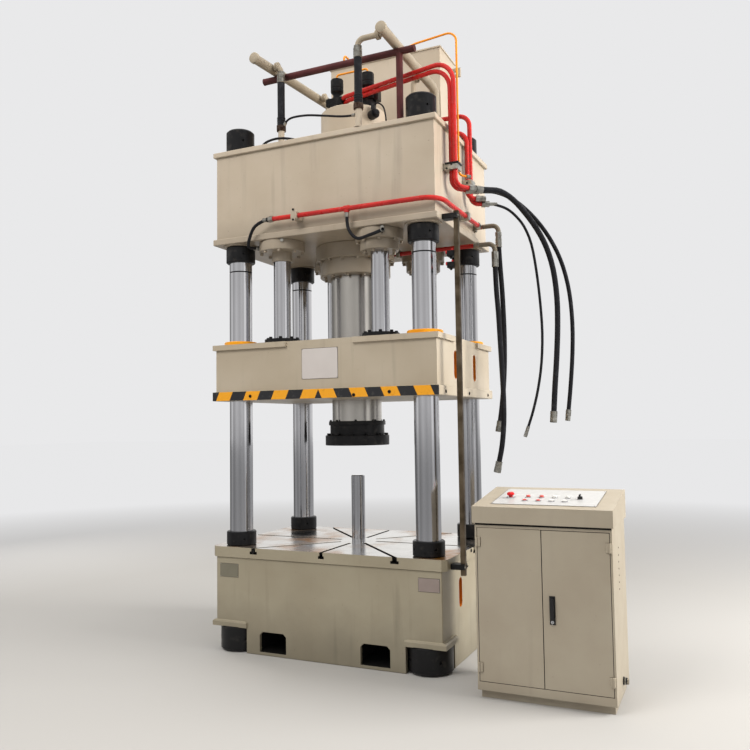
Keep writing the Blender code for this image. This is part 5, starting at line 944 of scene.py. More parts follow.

# %% [markdown]
# The ram is a ground bar with a socket in its end, painted black as shade, which takes the raised ejector rod.
# Its flange is one turned piece in black oxide, with studs on the broad step and smaller screws on the narrow one.

# %% Ram and the flange bolted under it
ram = coat(lathe("ram", [(0, 1.740), (0.075, 1.740), (0.075, 1.410), (0.174, 1.410), (0.178, 1.414), (0.178, 3.206),
                         (0.174, 3.210), (0, 3.210), (0, 1.740)], 96), ram_chrome_shaded, painted_shade)
# The faces of the socket get the painted shade.
repaint(ram, lambda c, n: math.hypot(c.x, c.y) < 0.0755 and c.z < 1.741, 1)
hand_over(ram, "ram", "hard_chrome", "main_ram")
flange = coat(lathe("flange", [(0.075, 1.384), (0.226, 1.384), (0.229, 1.387), (0.229, 1.451), (0.226, 1.454),
                               (0.1945, 1.454), (0.1945, 1.526), (0.201, 1.526), (0.204, 1.529), (0.204, 1.552),
                               (0.201, 1.555), (0.1785, 1.555), (0.1785, 1.4103), (0.075, 1.4103), (0.075, 1.384)],
                    96), black_oxide)
studs = ringed(head, "flange", 12, 0.2125, 1.4535, math.radians(15))
lip_screws = ringed(small_head, "flange", 8, 0.191, 1.5545, math.radians(22.5))
hand_over(united("ram_flange_bolted", [flange, studs, lip_screws]), "ram", "black_oxide", "ram_flange")

# %% [markdown]
# The four side cylinders are alike except for their glands, which are narrow on the left and broad on the right,
# so one function makes them all, and the gland's radius is the only value that changes.

# %% Four side cylinders with their glands, and four rods with bolted rings
NARROW_GLAND, BROAD_GLAND = 0.072, 0.128
SIDE_X_OUT, SIDE_Y_OUT = 0.376, 0.400


def side_cylinder(corner, x, y):
    """A cylinder for one corner, with its flange bolts and a plug in the flange's rim."""
    gland = NARROW_GLAND if x < 0 else BROAD_GLAND
    section = [(0, 3.455), (0.085, 3.455), (0.085, 2.7457), (0.0615, 2.7457), (0.0615, 2.6737), (0.0635, 2.6717),
               (gland - 0.003, 2.6717), (gland, 2.6747), (gland, 2.7377), (0.156, 2.7377), (0.160, 2.7417),
               (0.160, 2.8037), (0.156, 2.8077), (0.1049, 2.8077), (0.1049, 3.4767), (0, 3.4767), (0, 3.455)]
    pieces = [coat(lathe("cylinder", section, 64), crown_paint),
              ringed(painted_head, "cylinder", 8, 0.1445, 2.738, math.radians(22.5), down=True)]
    if x > 0:
        pieces.append(ringed(painted_head, "cylinder", 8, 0.103, 2.672, 0.0, down=True))
    plug_way = Vector((0.5, math.copysign(0.86, y), 0))
    plug_place = plug_way.normalized() * 0.158 + Vector((0, 0, 2.795))
    pieces.append(coat(put(hexagon(0.014, 0.012), plug_place, plug_way), fitting_steel))
    return put(united("side_cylinder_turned_" + corner, pieces), (x, y, 0))


for corner, (x, y) in CORNERS.items():
    x, y = math.copysign(SIDE_X_OUT, x), math.copysign(SIDE_Y_OUT, y)
    hand_over(side_cylinder(corner, x, y), "frame", "press_paint", "side_cylinder_" + corner)
    rod_section = [(0, 2.0960), (0.0609, 2.0960), (0.0609, 3.123), (0.0845, 3.123), (0.0845, 3.183), (0, 3.183)]
    pieces = [coat(lathe("rod", rod_section, 64), chrome),
              coat(lathe("rod", ring(0.0612, 0.125, 2.0953, 2.1273, 0.002), 64), black_oxide),
              ringed(head, "rod", 8, 0.102, 2.127, math.radians(22.5))]
    hand_over(put(united("side_rod_turned_" + corner, pieces), (x, y, 0)), "slide", "hard_chrome", "side_rod_" + corner)

# %% [markdown]
# The ejector rod pushes a finished piece out of its die. It stands raised here, so its bright bar shows above
# the table, while its cylinder hangs unseen in the bed and only needs a softened copy.

# %% Ejector rod and cylinder
ejector = coat(lathe("ejector", [(0, 0.530), (0.0745, 0.530), (0.0745, 0.580), (0.0479, 0.580), (0.0479, 1.165),
                                 (0.0439, 1.170), (0, 1.170)], 64), chrome)
hand_over(name_it(ejector, "ejector_turned"), "ejector", "hard_chrome", "ejector_rod")
barrel = coat(softened("ejector_cylinder", "ejector_barrel", 0.002), cylinder_steel)
hand_over(barrel, "frame", "machined_steel", "ejector_cylinder")

# %% [markdown]
# ## The wipers on the slide
# A bright orange ring sits round each column on top of the slide, and keeps dirt out of the guide bush.

# %% Orange wiper rings
for corner, (x, y) in CORNERS.items():
    wiper = lathe("wiper_" + corner, [(0.0806, 2.0955), (0.1150, 2.0955), (0.1160, 2.0965), (0.1160, 2.116),
                                      (0.1120, 2.121), (0.0860, 2.1225), (0.0806, 2.1195), (0.0806, 2.0955)], 64)
    hand_over(put(coat(wiper, wiper_orange), (x, y, 0)), "slide", "press_paint")

# %% [markdown]
# ## On top of the crown
# The prefill tank covers the main cylinder and carries two black valves and a solenoid.
# Two grey header pipes lie on a maroon pipe rack. Short rubber hoses come down from them.

# %% Prefill tank with its bolts and solenoid
PREFILL_TOP = 3.800
COIL_WAY, COIL_CENTRE = level_way(math.radians(-32)), Vector((0, 0, 3.725))
prefill = coat(lathe("prefill", [
    (0, 3.770), (0.218, 3.770), (0.218, 3.4776), (0.243, 3.4776), (0.243, 3.487), (0.240, 3.492), (0.240, 3.794),
    (0.234, PREFILL_TOP), (0, PREFILL_TOP), (0, 3.770)], 96), crown_paint)
lid_head = coat(hexagon(0.011, 0.009), crown_paint)
lid_bolts = ringed(lid_head, "prefill", 10, 0.212, PREFILL_TOP - 0.0005, 0.2)
coil = lathe("prefill", [(0, 0.225), (0.030, 0.225), (0.034, 0.246), (0.034, 0.294), (0.031, 0.298), (0.024, 0.298),
                         (0.024, 0.311), (0.020, 0.315), (0, 0.315)], 32)
coil = coat(put(coil, COIL_CENTRE, COIL_WAY), black_oxide)
on_coil = COIL_CENTRE + COIL_WAY * 0.270
socket = coat(plate("prefill", (-0.014, -0.018, 0.0), (0.014, 0.018, 0.030), 0.003), knob_black)
socket = put(socket, on_coil + Vector((0, 0, 0.030)))
LEAD_BOWS = ((0, 0, 0.055), (0.030, 0, 0.075), (0.070, 0.010, 0.045), (0.085, 0.020, -0.035), (0.070, 0.050, -0.145),
             (0.020, 0.090, -0.215))
coil_lead = [on_coil + Vector(bow) for bow in LEAD_BOWS] + [Vector((0.230, -0.070, 3.500))]
lead = coat(pipe("prefill", smooth_route(coil_lead, 5), 0.0055, 2), hose_rubber)
hand_over(united("prefill_tank_dressed", [prefill, lid_bolts, coil, socket, lead]), "frame", "press_paint",
          "prefill_tank")

# %% [markdown]
# Each valve is a broad round foot, a square block with four screws, and a turned neck and cap, all in black oxide.
# The two share one section. Only the right one carries a coil, so the loop adds it by a test.

# %% Two valves on the prefill tank
VALVE_Y = -0.085
for side, x, with_coil in (("left", -0.090, False), ("right", 0.158, True)):
    valve = lathe("valve", [(0, 3.905), (0.034, 3.905), (0.034, 3.925), (0.030, 3.932), (0.030, 3.944), (0.036, 3.954),
                            (0.0455, 3.962), (0.047, 3.968), (0.047, 3.985), (0.045, 3.987), (0.045, 3.993),
                            (0.047, 3.995), (0.047, 4.052), (0.044, 4.058), (0.038, 4.060), (0, 4.060)], 48)
    body = bevelled(lathe("valve", bar(0.060, PREFILL_TOP + GAP, 3.852, 0.003), 48), 0.0005)
    block = plate("valve", (-0.066, -0.056, 3.850), (0.066, 0.056, 3.906), 0.004)
    pieces = [coat(valve, black_oxide), coat(body, black_oxide), coat(block, black_oxide)]
    for dx, dy in four_corners(0.050, 0.040):
        pieces.append(coat(put(copied(small_head, "valve"), (dx, dy, 3.9055)), fitting_steel))
    pieces.append(coat(put(hexagon(0.013, 0.012), (0, 0, 4.0595)), fitting_steel))
    if with_coil:
        pieces += [coat(plate("valve", (0.064, -0.030, 3.8405), (0.094, 0.030, 3.9355), 0.004), knob_black),
                   coat(plate("valve", (0.070, -0.0165, 3.934), (0.090, 0.0165, 3.9415), 0.002), black_oxide)]
    hand_over(put(united("prefill_valve_dressed_" + side, pieces), (x, VALVE_Y, 0)), "frame", "black_oxide",
              "prefill_valve_" + side)

# %% [markdown]
# A header is a thick pipe that lies across the crown, bends down at its back end, and gives off two thin branches.
# Both headers have the same parts at other places, so a table of five values describes each.

# %% Header pipes with welded flanges and branches
HEADER_Z, HEADER_FRONT, HEADER_BACK, HEADER_RADIUS = 4.0702, -0.630, 0.415, 0.033
FOOT = 3.4773  # where pipes stand on the crown
# Each header: towards which side it lies, its x at the front and back, and the y and reach of its front branch.
headers = {"left": (-1, -0.453, -0.366, -0.440, 0.085), "right": (1, 0.509, 0.492, -0.545, 0.205)}


def header_x(front_x, back_x, y):
    """The x of a header at y; the pipe lies a little askew."""
    return front_x + (back_x - front_x) * (y - HEADER_FRONT) / (HEADER_BACK - HEADER_FRONT)


for side, (sign, front_x, back_x, branch_y, reach) in headers.items():
    run = [(front_x, HEADER_FRONT, HEADER_Z), (back_x, HEADER_BACK, HEADER_Z), (back_x, HEADER_BACK, FOOT)]
    way = Vector(run[1]) - Vector(run[0])
    cap = lathe("header", [(0, 0), (0.030, 0.002), (0.037, 0.007), (0.038, 0.014), (0.038, 0.028), (0, 0.028)], 40)
    pieces = [pipe("header", bent(run, 0.075), HEADER_RADIUS, 6),
              put(lathe("header", ring(0.020, 0.044, 0, 0.010, 0.002), 40), run[2]),
              put(cap, (front_x, HEADER_FRONT - 0.014, HEADER_Z), way)]
    for y, out, end in ((branch_y, reach, HEADER_Z - 0.062), (0.170, 0.085, FOOT)):
        x = header_x(front_x, back_x, y)
        hose_x, near = x - sign * out, x - sign * (HEADER_RADIUS + 0.012)
        branch = [(x, y, HEADER_Z), (hose_x, y, HEADER_Z), (hose_x, y, end)]
        pieces.append(pipe("header", bent(branch, 0.045), 0.019, 5))
        for shift in (0.0, 0.0125):
            disc = lathe("header", ring(0.012, 0.032, 0, 0.0115, 0.0015), 32)
            pieces.append(put(disc, (near - sign * shift, y, HEADER_Z), (-sign, 0, 0)))
        if end == FOOT:
            pieces.append(put(lathe("header", ring(0.012, 0.030, 0, 0.012, 0.002), 6), branch[2]))
    hand_over(coat(united("header_dressed_" + side, pieces), header_paint_shaded), "frame", "press_paint",
              "header_pipe_" + side)

# %% [markdown]
# A short rubber hose joins each front branch to a stub on the crown, with a crimped ferrule and a nut at both ends.
# All of it is straight and round, so every part is a turned piece on the same axis.

# %% Short hoses under the headers
for side, (sign, front_x, back_x, y, reach) in headers.items():
    x = header_x(front_x, back_x, y) - sign * reach
    union = FOOT + 0.120
    top = HEADER_Z - 0.0625
    stub = coat(lathe("short", [(0, FOOT), (0.030, FOOT), (0.030, FOOT + 0.006), (0.022, FOOT + 0.010),
                                (0.022, union), (0, union)], 32), crown_paint)
    nut = coat(put(hexagon(0.037, 0.040), (0, 0, union)), dull_bronze)
    low_crimp = coat(put(lathe("short", crimp(0.0228, 0.060), 40), (0, 0, union + 0.040)), hose_rubber)
    rubber = coat(lathe("short", bar(0.026, union + 0.050, top - 0.050, 0.002), 40), hose_rubber)
    high_crimp = coat(put(lathe("short", crimp(0.0228, 0.062), 40), (0, 0, top), DOWN), fitting_steel)
    collar = coat(put(hexagon(0.030, 0.020), (0, 0, top - 0.001)), fitting_steel)
    pieces = [stub, nut, low_crimp, rubber, high_crimp, collar]
    hand_over(put(united("header_hose_dressed_" + side, pieces), (x, y, 0)), "frame", "hose_rubber",
              "header_hose_" + side)

# %% [markdown]
# Two thin rubber lines lie on the crown: one hangs between two fittings, the other arches over the sheet and
# goes through a grommet at each end. A smooth curve through a few places gives rubber its natural sag.

# %% Two black lines on the crown's top
link = smooth_route([(-0.322, -0.444, 3.640), (-0.296, -0.450, 3.664), (-0.240, -0.458, 3.674), (-0.120, -0.475, 3.660),
                     (0.020, -0.496, 3.624), (0.150, -0.518, 3.588), (0.230, -0.532, 3.572), (0.272, -0.540, 3.568)], 4)
pieces = [coat(pipe("link", link, 0.0075, 3), hose_rubber),
          coat(hex_between("link", link[0] + (link[0] - link[1]) * 0.8, link[2], 0.0125), fitting_steel),
          coat(hex_between("link", link[-1] + (link[-1] - link[-2]) * 0.5, link[-3], 0.0125), fitting_steel)]
hump = smooth_route([(-0.470, -0.498, FOOT + 0.002), (-0.462, -0.498, FOOT + 0.026), (-0.425, -0.494, FOOT + 0.045),
                     (-0.350, -0.498, FOOT + 0.050), (-0.270, -0.488, FOOT + 0.040), (-0.205, -0.472, FOOT + 0.022),
                     (-0.190, -0.468, FOOT + 0.002)], 4)
pieces.append(coat(pipe("link", hump, 0.0085, 3), hose_rubber))
for place in (hump[0], hump[-1]):
    grommet = lathe("link", ring(0.0078, 0.0170, 0, 0.006, 0.002), 24)
    pieces.append(coat(put(grommet, (place.x, place.y, FOOT)), knob_black))
hand_over(united("crown_lines", pieces), "frame", "hose_rubber")

# %% [markdown]
# The rack is a post and a cross bar of plain pipe, welded to a foot plate with four bolts and left in primer.
# A ring inside each end of the cross bar shows the thickness of the pipe's wall.

# %% Maroon pipe rack
RACK_Y, RACK_Z, POST_X, HALF_FOOT = -0.378, 4.0134, 0.530, 0.050
low = (POST_X - HALF_FOOT, RACK_Y - HALF_FOOT, FOOT + GAP)
high = (POST_X + HALF_FOOT, RACK_Y + HALF_FOOT, FOOT + 0.0103)
pieces = [pipe("rack", [(-0.530, RACK_Y, RACK_Z), (0.640, RACK_Y, RACK_Z)], 0.0235, 6),
          pipe("rack", [(POST_X, RACK_Y, FOOT + 0.009), (POST_X, RACK_Y, RACK_Z)], 0.0230, 6),
          plate("rack", low, high, 0.002),
          put(lathe("rack", ring(0.0225, 0.0290, 0, 0.006, 0.0025), 32), (POST_X, RACK_Y, FOOT + 0.010))]
for x, way in ((-0.532, TO_RIGHT), (0.642, TO_LEFT)):
    pieces.append(put(lathe("rack", ring(0.010, 0.0245, 0, 0.004, 0.0008), 32), (x, RACK_Y, RACK_Z), way))
rack = coat(united("rack_welded", pieces), primer)
bolts = [coat(put(hexagon(0.009, 0.008), (POST_X + dx, RACK_Y + dy, FOOT + 0.010)), dark_bolt)
         for dx, dy in four_corners(0.036, 0.036)]
hand_over(united("rack_welded", [rack] + bolts), "frame", "maroon_primer", "pipe_rack")

# %% [markdown]
# ## Red and yellow pipes
# Every pipe is bent from one length, held by clamps and closed by a union. A union is a nut, a shoulder and a face,
# and a clamp is a block with a screw, so both are functions that every pipe cell uses.

# %% Clamps and unions
CROWN_SIDE, CROWN_FRONT = 0.8253, -0.5473


def side_clamp(name, low, high, screws):
    """A grey clamp block on the crown's side, with a dark screw through it above and below."""
    pieces = [coat(plate(name, low, high, 0.003), fitting_steel)]
    for place in screws:
        pieces.append(coat(put(hexagon(0.007, 0.006), place, TO_FRONT), dark_bolt))
    return united(name, pieces)


def union_at(name, end, way, radius=0.024, length=0.050):
    """The nut, the shoulder and the face at the end of a pipe."""
    way = Vector(way)
    nut = hex_between(name, end - way * length, end - way * length * 0.42, radius)
    body = put(lathe(name, bar(radius * 0.86, 0, length * 0.24, 0.001), 32), end - way * length * 0.43, way)
    tip = hex_between(name, end - way * length * 0.20, end + way * 0.004, radius * 0.94)
    return coat(united(name, [nut, body, tip]), fitting_steel)


# %% [markdown]
# The pressure pipes start beside the left valve, cross the crown one over the other, drop down its right side
# through a clamp and turn outwards to the two thick hoses. The same list of corners makes both.

# %% Pair of pressure pipes
LOWER_Z, UPPER_Z, CLAMP_TOP = PREFILL_TOP + 0.062, PREFILL_TOP + 0.090, 3.202
pieces = []
for level_z, x, y, tail in ((UPPER_Z, 0.898, -0.360, OUTER_TAIL), (LOWER_Z, 0.865, -0.335, INNER_TAIL)):
    above_lower = level_z - LOWER_Z
    run = [Vector((-0.030, -0.100 - above_lower, 3.858 + above_lower * 0.8)),
           Vector((0.004, -0.122 - above_lower, 3.866 + above_lower * 0.8)),
           Vector((0.040, -0.145 - above_lower * 0.5, level_z)), (x, y, level_z), (x, y, TAIL_LEVEL), tail]
    pieces += [coat(pipe("pressure", bent(run, 0.010, 0.020, 0.150, 0.060), 0.0155, 5), pipe_red),
               coat(hex_between("pressure", run[0], run[0].lerp(run[1], 0.55), 0.0205), dark_bolt),
               union_at("pressure", tail, TAIL_WAY)]
pieces.append(side_clamp("pressure", (CROWN_SIDE, -0.386, CLAMP_TOP - 0.046), (0.924, -0.309, CLAMP_TOP),
                         [(0.882, -0.386, CLAMP_TOP - 0.012), (0.850, -0.386, CLAMP_TOP - 0.036)]))
cover = plate("pressure", (0.838, -0.390, CLAMP_TOP - 0.010), (0.930, -0.306, CLAMP_TOP + 0.003), 0.002)
pieces.append(coat(cover, dark_bolt))
hand_over(united("pressure_pipes_dressed", pieces), "frame", "red_pipe_paint", "pressure_pipes")

# %% [markdown]
# Two return pipes leave the prefill tank on its right. One feeds the thin hose, and the end of the other is
# closed with a turned plug.

# %% Return pipes
PLUGGED_TAIL = tail_of(0.857, 0.026, 3.075, 0.105, RETURN_WAY)
runs = [[(0.2403, 0, 3.602), (0.400, 0, 3.602), (0.560, 0.065, 3.680), (0.867, 0.065, 3.680), (0.867, 0.065, 3.047),
         RETURN_TAIL],
        [(0.2348, -0.050, 3.548), (0.400, -0.050, 3.548), (0.560, 0.026, 3.548), (0.857, 0.026, 3.548),
         (0.857, 0.026, 3.075), PLUGGED_TAIL]]
pieces = []
for run in runs:
    flange = put(lathe("return", ring(0.012, 0.028, 0, 0.016, 0.002), 32), run[0], TO_RIGHT)
    pieces += [coat(pipe("return", bent(run, 0.050, 0.050, 0.080, 0.050), 0.016, 5), pipe_red),
               union_at("return", run[-1], RETURN_WAY), coat(flange, fitting_steel)]
plug = lathe("return", [(0, 0), (0.017, 0), (0.018, 0.004), (0.018, 0.018), (0.012, 0.022), (0, 0.022)], 24)
pieces += [coat(put(plug, PLUGGED_TAIL, RETURN_WAY), fitting_steel),
           side_clamp("return", (CROWN_SIDE, 0.005, CLAMP_TOP - 0.046), (0.893, 0.091, CLAMP_TOP),
                      [(0.860, 0.005, CLAMP_TOP - 0.023)])]
hand_over(united("return_pipe_dressed", pieces), "frame", "red_pipe_paint", "return_pipe")

# %% [markdown]
# The front pipe runs round the crown's front right corner at one level. It gives a short hose to each front
# cylinder, and meets a beige elbow on the crown's side, from which a free hose hangs.

# %% Front pipe
FRONT_Y, FRONT_Z, SIDE_X, SIDE_END = -0.610, 2.928, 0.868, 0.270


def on_front(x, y=0.0, z=0.0):
    """A place beside the axis of the front pipe."""
    return Vector((x, FRONT_Y + y, FRONT_Z + z))


run = [on_front(-0.330), on_front(SIDE_X), (SIDE_X, SIDE_END, FRONT_Z)]
elbow = [(CROWN_SIDE, SIDE_END, FRONT_Z), (1.000, SIDE_END, FRONT_Z), (1.000, SIDE_END, 2.8735)]
front_pieces = [
    coat(pipe("front", bent(run, 0.120), 0.016, 5), pipe_red),
    coat(pipe("front", bent(elbow, 0.045), 0.0165, 5), header_paint_shaded),
    coat(put(lathe("front", ring(0.012, 0.034, 0, 0.014, 0.002), 32), elbow[0], TO_RIGHT), header_paint_shaded),
    coat(hex_between("front", (SIDE_X, 0.200, FRONT_Z), (SIDE_X, 0.238, FRONT_Z), 0.0225), fitting_steel),
    union_at("front", Vector((1.000, SIDE_END, 2.827)), DOWN),
    coat(put(lathe("front", bar(0.0200, 0, 0.044, 0.003), 32), on_front(0.218), TO_RIGHT), pipe_red),
    coat(put(lathe("front", bar(0.0175, 0, 0.026, 0.002), 32), on_front(0.240, 0, -0.002), DOWN), pipe_red),
    coat(hex_between("front", on_front(-0.318), on_front(-0.352), 0.0225), fitting_steel),
    coat(hex_between("front", on_front(-0.352), on_front(-0.362), 0.0185), dark_bolt),
    side_clamp("front", (CROWN_SIDE, -0.083, FRONT_Z - 0.026), (SIDE_X + 0.026, -0.037, FRONT_Z + 0.026),
               [(0.862, -0.083, FRONT_Z)])]
print("front pipe in", len(front_pieces), "parts")

# %% Clamp on the crown's front, and the two short hoses
CLAMP_X = -0.145
block_top = (CLAMP_X + 0.023, CROWN_FRONT, FRONT_Z + 0.026)
front_pieces += [
    coat(plate("front", on_front(CLAMP_X - 0.023, -0.026, -0.026), block_top, 0.004), crown_paint),
    coat(plate("front", on_front(CLAMP_X - 0.014, -0.0275, -0.040), on_front(CLAMP_X + 0.014, -0.0235, 0.044), 0.0015),
         crown_paint)]
for rise in (-0.032, 0.036):
    front_pieces.append(coat(put(hexagon(0.0075, 0.007), on_front(CLAMP_X, -0.027, rise), TO_FRONT), dark_bolt))


def small_hose(side, start, heading, turn, bows):
    """From the front pipe to a port on the rim of a front cylinder's flange."""
    heading = Vector(heading)
    outward = Vector((side * math.sin(turn), -math.cos(turn), 0))
    port = Vector((side * SIDE_X_OUT, -SIDE_Y_OUT, 2.773)) + outward * 0.1603
    lead = 0.022
    inner = [port + Vector(bow) for bow in bows]
    route = smooth_route([start, start + heading * lead] + inner + [port + outward * lead], 6) + [port]
    made = [coat(pipe("front", route, 0.011, 4), hose_rubber)]
    for place, way in ((start, heading), (port, outward)):
        made += [coat(put(lathe("front", crimp(0.0115, 0.040), 24), place, way), fitting_steel),
                 coat(put(hexagon(0.0165, 0.014), place - way * 0.002, way), dark_bolt)]
    return made


front_pieces += small_hose(-1, on_front(-0.358), TO_LEFT, math.radians(60),
                           [(0.045, -0.135, 0.110), (-0.020, -0.105, 0.000)])
front_pieces += small_hose(1, on_front(0.240, 0, -0.018), DOWN, math.radians(30),
                           [(-0.205, -0.072, 0.020), (-0.150, -0.060, -0.046), (-0.060, -0.050, -0.030)])
hand_over(united("front_pipe_dressed", front_pieces), "frame", "red_pipe_paint", "front_pipe")

# %% [markdown]
# A thin yellow pipe bridges the two valves, climbs over the cross bar and drops behind the pressure pipes to a
# small union. Its bends differ, so each corner is given a radius of its own.

# %% Yellow pilot and drain pipe
PILOT_Z, SEAT_Z, PILOT_RADIUS = 4.0963, 4.0605, 0.007
LEFT_VALVE, RIGHT_VALVE, TEE_X = -0.090, 0.158, 0.100
bridge = [(LEFT_VALVE, VALVE_Y, SEAT_Z), (LEFT_VALVE, VALVE_Y, PILOT_Z), (RIGHT_VALVE, VALVE_Y, PILOT_Z),
          (RIGHT_VALVE, VALVE_Y, SEAT_Z)]
drain_tail = tail_of(0.900, -0.290, 3.142, 0.085, TAIL_WAY)
run = [(TEE_X, VALVE_Y, PILOT_Z), (TEE_X, -0.343, PILOT_Z), (TEE_X, -0.343, RACK_Z), (0.480, -0.343, RACK_Z + 0.012),
       (0.620, -0.315, RACK_Z + 0.062), (0.900, -0.290, RACK_Z + 0.100), (0.900, -0.290, 3.142), drain_tail]
tee = plate("drain", (0.088, VALVE_Y - 0.011, PILOT_Z - 0.011), (0.112, VALVE_Y + 0.011, PILOT_Z + 0.011), 0.002)
pieces = [coat(pipe("drain", bent(bridge, 0.018), PILOT_RADIUS, 3), pipe_yellow),
          coat(pipe("drain", bent(run, 0.030, 0.030, 0.200, 0.200, 0.060, 0.030), PILOT_RADIUS, 3), pipe_yellow),
          union_at("drain", drain_tail, TAIL_WAY, 0.014, 0.026), coat(tee, fitting_steel),
          coat(plate("drain", (CROWN_SIDE, -0.300, 3.164), (0.910, -0.280, 3.187), 0.002), fitting_steel),
          coat(put(hexagon(0.006, 0.005), (0.880, -0.300, 3.176), TO_FRONT), dark_bolt)]
hand_over(united("drain_pipe_dressed", pieces), "frame", "yellow_pipe_paint", "drain_pipe")

# %% [markdown]
# ## Slide and bed details
# The hazard band is a thin film on the slide's front edge. Blank plates are riveted where the slide and the bed
# carry plates. Plugs close the threaded holes for lifting eyes.

# %% Hazard band and plugs
band = coat(plate("hazard_band", (-0.8395, -0.5806, 1.7060), (0.8395, -0.5796, 1.7665), 0.0003, 1), hazard)
hand_over(band, "slide", "press_paint")
plug_model = coat(lathe("plug", [(0, 0), (0.0110, 0), (0.0115, 0.0025), (0.0090, 0.0045), (0.0085, 0.0020),
                                 (0, 0.0015)], 24), dark_bolt)


def plugged(name, body, places):
    """Copies of the plug at places on one body's sides."""
    plugs = [put(copied(plug_model, name), place, way) for place, way in places]
    hand_over(united(name, plugs), body, "black_oxide")


side_plugs = [((sign * 0.8395, y, 1.730), (sign, 0, 0)) for y in (-0.458, 0.019, 0.458) for sign in (1, -1)]
plugged("slide_plugs", "slide",
        [((x, -0.5800, z), TO_FRONT) for x, z in ((-0.528, 1.733), (0.259, 1.720), (0.509, 1.733))] + side_plugs)
plugged("table_plugs", "frame", [((-0.521, -0.5648, 0.680), TO_FRONT), ((0.8568, -0.071, 0.690), TO_RIGHT),
                                 ((0.521, 0.5648, 0.680), TO_BACK), ((-0.8529, 0.071, 0.690), TO_LEFT)])
bpy.data.objects.remove(plug_model)

# %% Blank plates
RIM, RIVET_INSET = 0.0022, 0.006


def riveted_plate(name, low, high, finish):
    """A thin blank plate on a front face, with a darker rim round it and a rivet in each corner."""
    rim = plate(name, low, (high[0], high[1] + 0.0006, high[2]), 0.0008)
    inner_low = (low[0] + RIM, low[1] - 0.0004, low[2] + RIM)
    inner = plate(name, inner_low, (high[0] - RIM, high[1], high[2] - RIM), 0.0006)
    pieces = [coat(inner, finish), coat(rim, plate_rim)]
    front = min(vertex.co.y for vertex in inner.data.vertices)
    for x in (low[0] + RIVET_INSET, high[0] - RIVET_INSET):
        for z in (low[2] + RIVET_INSET, high[2] - RIVET_INSET):
            rivet = lathe(name, [(0, 0), (0.0030, 0), (0.0026, 0.0012), (0.0012, 0.0019), (0, 0.0020)], 16)
            pieces.append(coat(put(rivet, (x, front, z), TO_FRONT), fitting_steel))
    return united(name, pieces)


for name, body, low, high, finish in (
        ("slide_blank_plate", "slide", (-0.132, -0.5640, 1.834), (0.139, -0.5618, 2.038), blank_plate),
        ("bed_blank_plate_left", "frame", (-0.794, -0.5570, 0.499), (-0.646, -0.5548, 0.591), olive_plate),
        ("bed_blank_plate_right", "frame", (0.671, -0.5570, 0.505), (0.812, -0.5548, 0.590), rosy_plate)):
    hand_over(riveted_plate(name, low, high, finish), body, "machined_steel")

# %% [markdown]
# Behind each hand slot in the bed's sides an upright plate in the same orange closes the view into the hollow.

# %% Orange backing behind the bed's hand slots
backs = [plate("slot_backing", (x - 0.004, y - 0.050, 0.330), (x + 0.004, y + 0.050, 0.560), 0.002)
         for x, y in four_corners(0.770, SLOT_Y)]
hand_over(coat(united("slot_backing", backs), slot_orange), "frame", "press_paint")

# %% [markdown]
# ## Weld beads
# Where plates meet, a welder leaves a rounded, slightly rippled bead. It is a thin pipe laid into the corner,
# finished in the same paint, and a bump of short waves gives it its ripple.

# %% Weld paint and beads
weld_paint, tree, shader, place = new_finish("weld paint", 0.48)
ripple = noise(tree, place, 150.0, 2.0)
tree.links.new(blend_colours(tree, ripple, tone(150, 140, 120), tone(182, 172, 150)), shader.inputs["Base Color"])
bump(tree, shader, ripple, 0.6, 0.0015)


def bead_loop(name, half_x, half_y, level_z, radius=0.004):
    """A bead round a box at one level."""
    signs = ((-1, -1), (1, -1), (1, 1), (-1, 1), (-1, -1))
    return pipe(name, [(sx * half_x, sy * half_y, level_z) for sx, sy in signs], radius, 1)


beads = [bead_loop("crown_welds", 0.8255, 0.5475, 2.851), bead_loop("crown_welds", 0.8255, 0.5475, 3.440, 0.003)]
for x in (-0.420, 0.054, 0.508):
    beads.append(pipe("crown_welds", [(x, 0.5675, 3.200), (x, 0.5675, 3.445)], 0.003, 1))
beads.append(pipe("crown_welds", [(-0.430, 0.4690, 3.4785), (0.518, 0.4690, 3.4785)], 0.004, 1))
hand_over(coat(united("crown_welds", beads), weld_paint), "frame", "press_paint")
hand_over(coat(bead_loop("slide_welds", 0.8225, 0.5625, 1.768, 0.0035), weld_paint), "slide", "press_paint")
bed_beads = []
for sx, sy in four_corners(1, 1):
    corner = [(sx * 0.590, sy * 0.5555, 0.2065), (sx * 0.8255, sy * 0.5555, 0.2065), (sx * 0.8255, sy * 0.345, 0.2065)]
    bed_beads.append(pipe("bed_welds", corner, 0.0035, 1))
hand_over(coat(united("bed_welds", bed_beads), weld_paint), "frame", "press_paint")

# %% [markdown]
# ## Position rail and limit switches
# A square bar beside the front right column carries two limit switches. Their small red rollers meet the slide.
# The bar, its two brackets and the switch boxes are plates with broken edges.

# %% Rail, brackets and switches
RAIL_Y = -0.450
# Plates of the rail and its brackets, and of a switch below its top: x, half width, z, edge and finish.
RAIL_PLATES = (((0.915, 0.945), 0.015, (0.600, 2.864), 0.0015, rail_steel),
               ((0.8573, 0.9440), 0.035, (0.637, 0.671), 0.004, black_oxide),
               ((0.8256, 0.9440), 0.035, (2.813, 2.847), 0.004, black_oxide))


def rail_plate(xs, y_range, zs, edge, finish):
    """A plate on the rail between x, y and z ranges; the y range is counted from the rail's middle."""
    low, high = zip(xs, (RAIL_Y + y_range[0], RAIL_Y + y_range[1]), zs)
    return coat(plate("rail", low, high, edge), finish)


def rail_turned(section, sides, x, y, z, way, finish):
    return coat(put(lathe("rail", section, sides), (x, RAIL_Y + y, z), way), finish)


